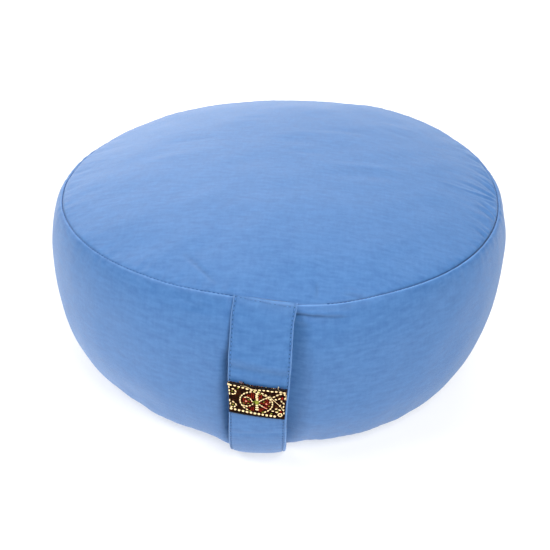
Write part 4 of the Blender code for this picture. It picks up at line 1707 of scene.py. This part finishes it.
gold = border_beads() + ring_beads() + charted_beads() + [yarn(*loose) for loose in LOOSE_GOLD]
print(len(gold), "gold floats")

# %% Petals and centre
PETAL_EDGES = (-38, 41, 90, 150, 215, 270)      # headings between the six petals, in degrees
ROSE_STITCHES = [           # x, y, half length, half width, heading and lift
    (-7.4, -0.9, 0.8, 0.55, 0, 1.1), (6.2, -0.9, 0.8, 0.6, 0, 1.1),
    (4.6, -3.9, 0.9, 0.42, -25, 1.0), (6.1, -4.5, 0.8, 0.4, -15, 1.0)]
GREEN_CENTRE = [(-0.2, -1.7, 1.6, 0.50), (-0.2, -0.6, 1.6, 0.50), (-0.2, 0.4, 1.6, 0.50),
                (-2.4, -0.5, 0.7, 0.45, 0, 0.8)]
GREEN_SPECKS = [            # x, y and half length
    (-8.9, -2.7, 0.7), (-5.9, -2.4, 0.6), (-5.6, 0.6, 0.6), (7.9, -2.4, 0.7), (4.3, 0.4, 0.6),
    (-2.2, 8.2, 0.8), (0.6, 8.5, 0.7), (1.9, 6.6, 0.5), (-16.4, 5.2, 0.7), (-16.2, -5.6, 0.7),
    (-4.6, -8.6, 0.8), (3.9, -8.3, 0.7), (13.9, -5.9, 0.6), (9.8, -8.6, 0.7), (-12.6, 8.4, 0.6)]


def red_floats():
    """The petals, each made of short upright floats side by side, some left out, and a red speck
    in each of the two figures on the right."""
    chance = np.random.default_rng(26)
    parts = []
    for x in np.arange(-9.75, 9.8, 1.3):
        for y in np.arange(-6.6, 6.7, 1.6):
            reach = math.hypot(x / FLOWER_HALF_WIDTH, y / FLOWER_HALF_HEIGHT)
            heading = math.degrees(math.atan2(y / FLOWER_HALF_HEIGHT, x / FLOWER_HALF_WIDTH))
            from_line = min(abs(turned_from(heading, edge)) for edge in PETAL_EDGES)
            if 0.24 < reach < 0.84 and from_line * reach > 8 and chance.random() > 0.12:
                place = (FLOWER_X + x, FLOWER_Y + y + chance.uniform(-0.3, 0.3))
                wide = chance.uniform(0.34, 0.50)
                parts.append(pad(*place, wide, 0.80, lift=0.7, corners=8, rings=2))
    return parts + [pad(16.3, 4.9, 1.3, 0.7, 80, 0.6), pad(16.0, -6.3, 0.9, 0.5, 40, 0.6)]


red = red_floats()
rose = [pad(*rose_stitch) for rose_stitch in ROSE_STITCHES]
green = [pad(*green_float) for green_float in GREEN_CENTRE]
green += [pad(x, y, half_length, 0.32, lift=0.7) for x, y, half_length in GREEN_SPECKS]
print(len(red), "red,", len(rose), "rose and", len(green), "green floats")

# %% Frayed edge
FRAY_CLUMPS = ((-9.5, 1.9), (-8.2, 1.4), (13.2, 1.2), (15.0, 0.8))    # x and extra length in mm
FRAY_HALF = 18.6            # mm, half the width over which it frays
TOP_EDGE = 11.8
BOTTOM_EDGE = -12.0


def frayed_ends(seed, count, shortest, longest):
    """Cut yarn ends that stand out of the ribbon's top edge."""
    chance = np.random.default_rng(seed)
    parts = []
    for k in range(count):
        x = 2 * FRAY_HALF * (k + chance.uniform(-0.3, 0.3)) / (count - 1) - FRAY_HALF
        x = float(np.clip(x, -18.8, 18.8))
        near = max(extra * hump(x, middle, 1.4) for middle, extra in FRAY_CLUMPS)
        length = chance.uniform(shortest, longest) + near
        lean = chance.uniform(-0.9, 0.9) * length
        root = TOP_EDGE + chance.uniform(0, 0.3)
        points = [(x, root), (x + lean * 0.4, root + length * 0.5), (x + lean, root + length)]
        parts.append(yarn(points, chance.uniform(0.12, 0.2), chance.uniform(-0.5, 0.15)))
    return parts


def dark_edges():
    """A black yarn along the bottom edge, and dark cut yarns along the top."""
    x = np.linspace(-18.9, 18.9, 28)
    bottom = np.stack([x, BOTTOM_EDGE + 0.12 * np.sin(x * 1.7)], axis=-1)
    top = np.stack([x, TOP_EDGE + 0.18 * np.sin(x * 1.1 + 2)], axis=-1)
    return [yarn(bottom, 0.50, -0.2), yarn(top, 0.46, -0.15)] + frayed_ends(31, 46, 0.2, 0.8)


def make_floats(name, parts, colour, roughness, sheen=0.0, shine=0.15):
    """Pads and yarns of one colour as one piece."""
    thing = mesh_object(name, *joined(parts))
    material = yarn_material(name + "_yarn", colour, roughness, sheen, shine, unevenness=0.6)
    thing.data.materials.append(material)
    return thing


trim_pieces = [
    make_floats("gold_floats", gold, (0.98, 0.74, 0.38), 0.45, 0.2, 0.4),
    make_floats("red_floats", red, (0.25, 0.010, 0.004), 0.7, 0.0, 0.05),
    make_floats("rose_floats", rose, (0.85, 0.30, 0.20), 0.5),
    make_floats("green_floats", green, (0.26, 0.29, 0.03), 0.5),
    make_floats("dark_yarns", dark_edges(), (0.004, 0.003, 0.004), 0.6),
    make_floats("rust_yarns", frayed_ends(32, 20, 0.2, 1.0), (0.25, 0.08, 0.03), 0.6),
    make_floats("pale_yarns", frayed_ends(33, 9, 0.2, 0.9), (0.80, 0.66, 0.34), 0.5),
]
for piece in trim_pieces:
    print(piece.name, "has", len(piece.data.polygons), "faces")

# %% Let the small pieces ride
for piece, slot in [(strap, "strap_cotton"), (stitches, "strap_cotton"), (holes, "strap_cotton"),
                    (seam_stitches, "cushion_cotton"), (ribbon, "woven_trim")] + [
                        (piece, "woven_trim") for piece in trim_pieces]:
    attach(piece, "root")
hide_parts("carry_strap")
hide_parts("trim_band")
print("strap, ribbon and", 3 + len(trim_pieces), "small pieces ride on root")
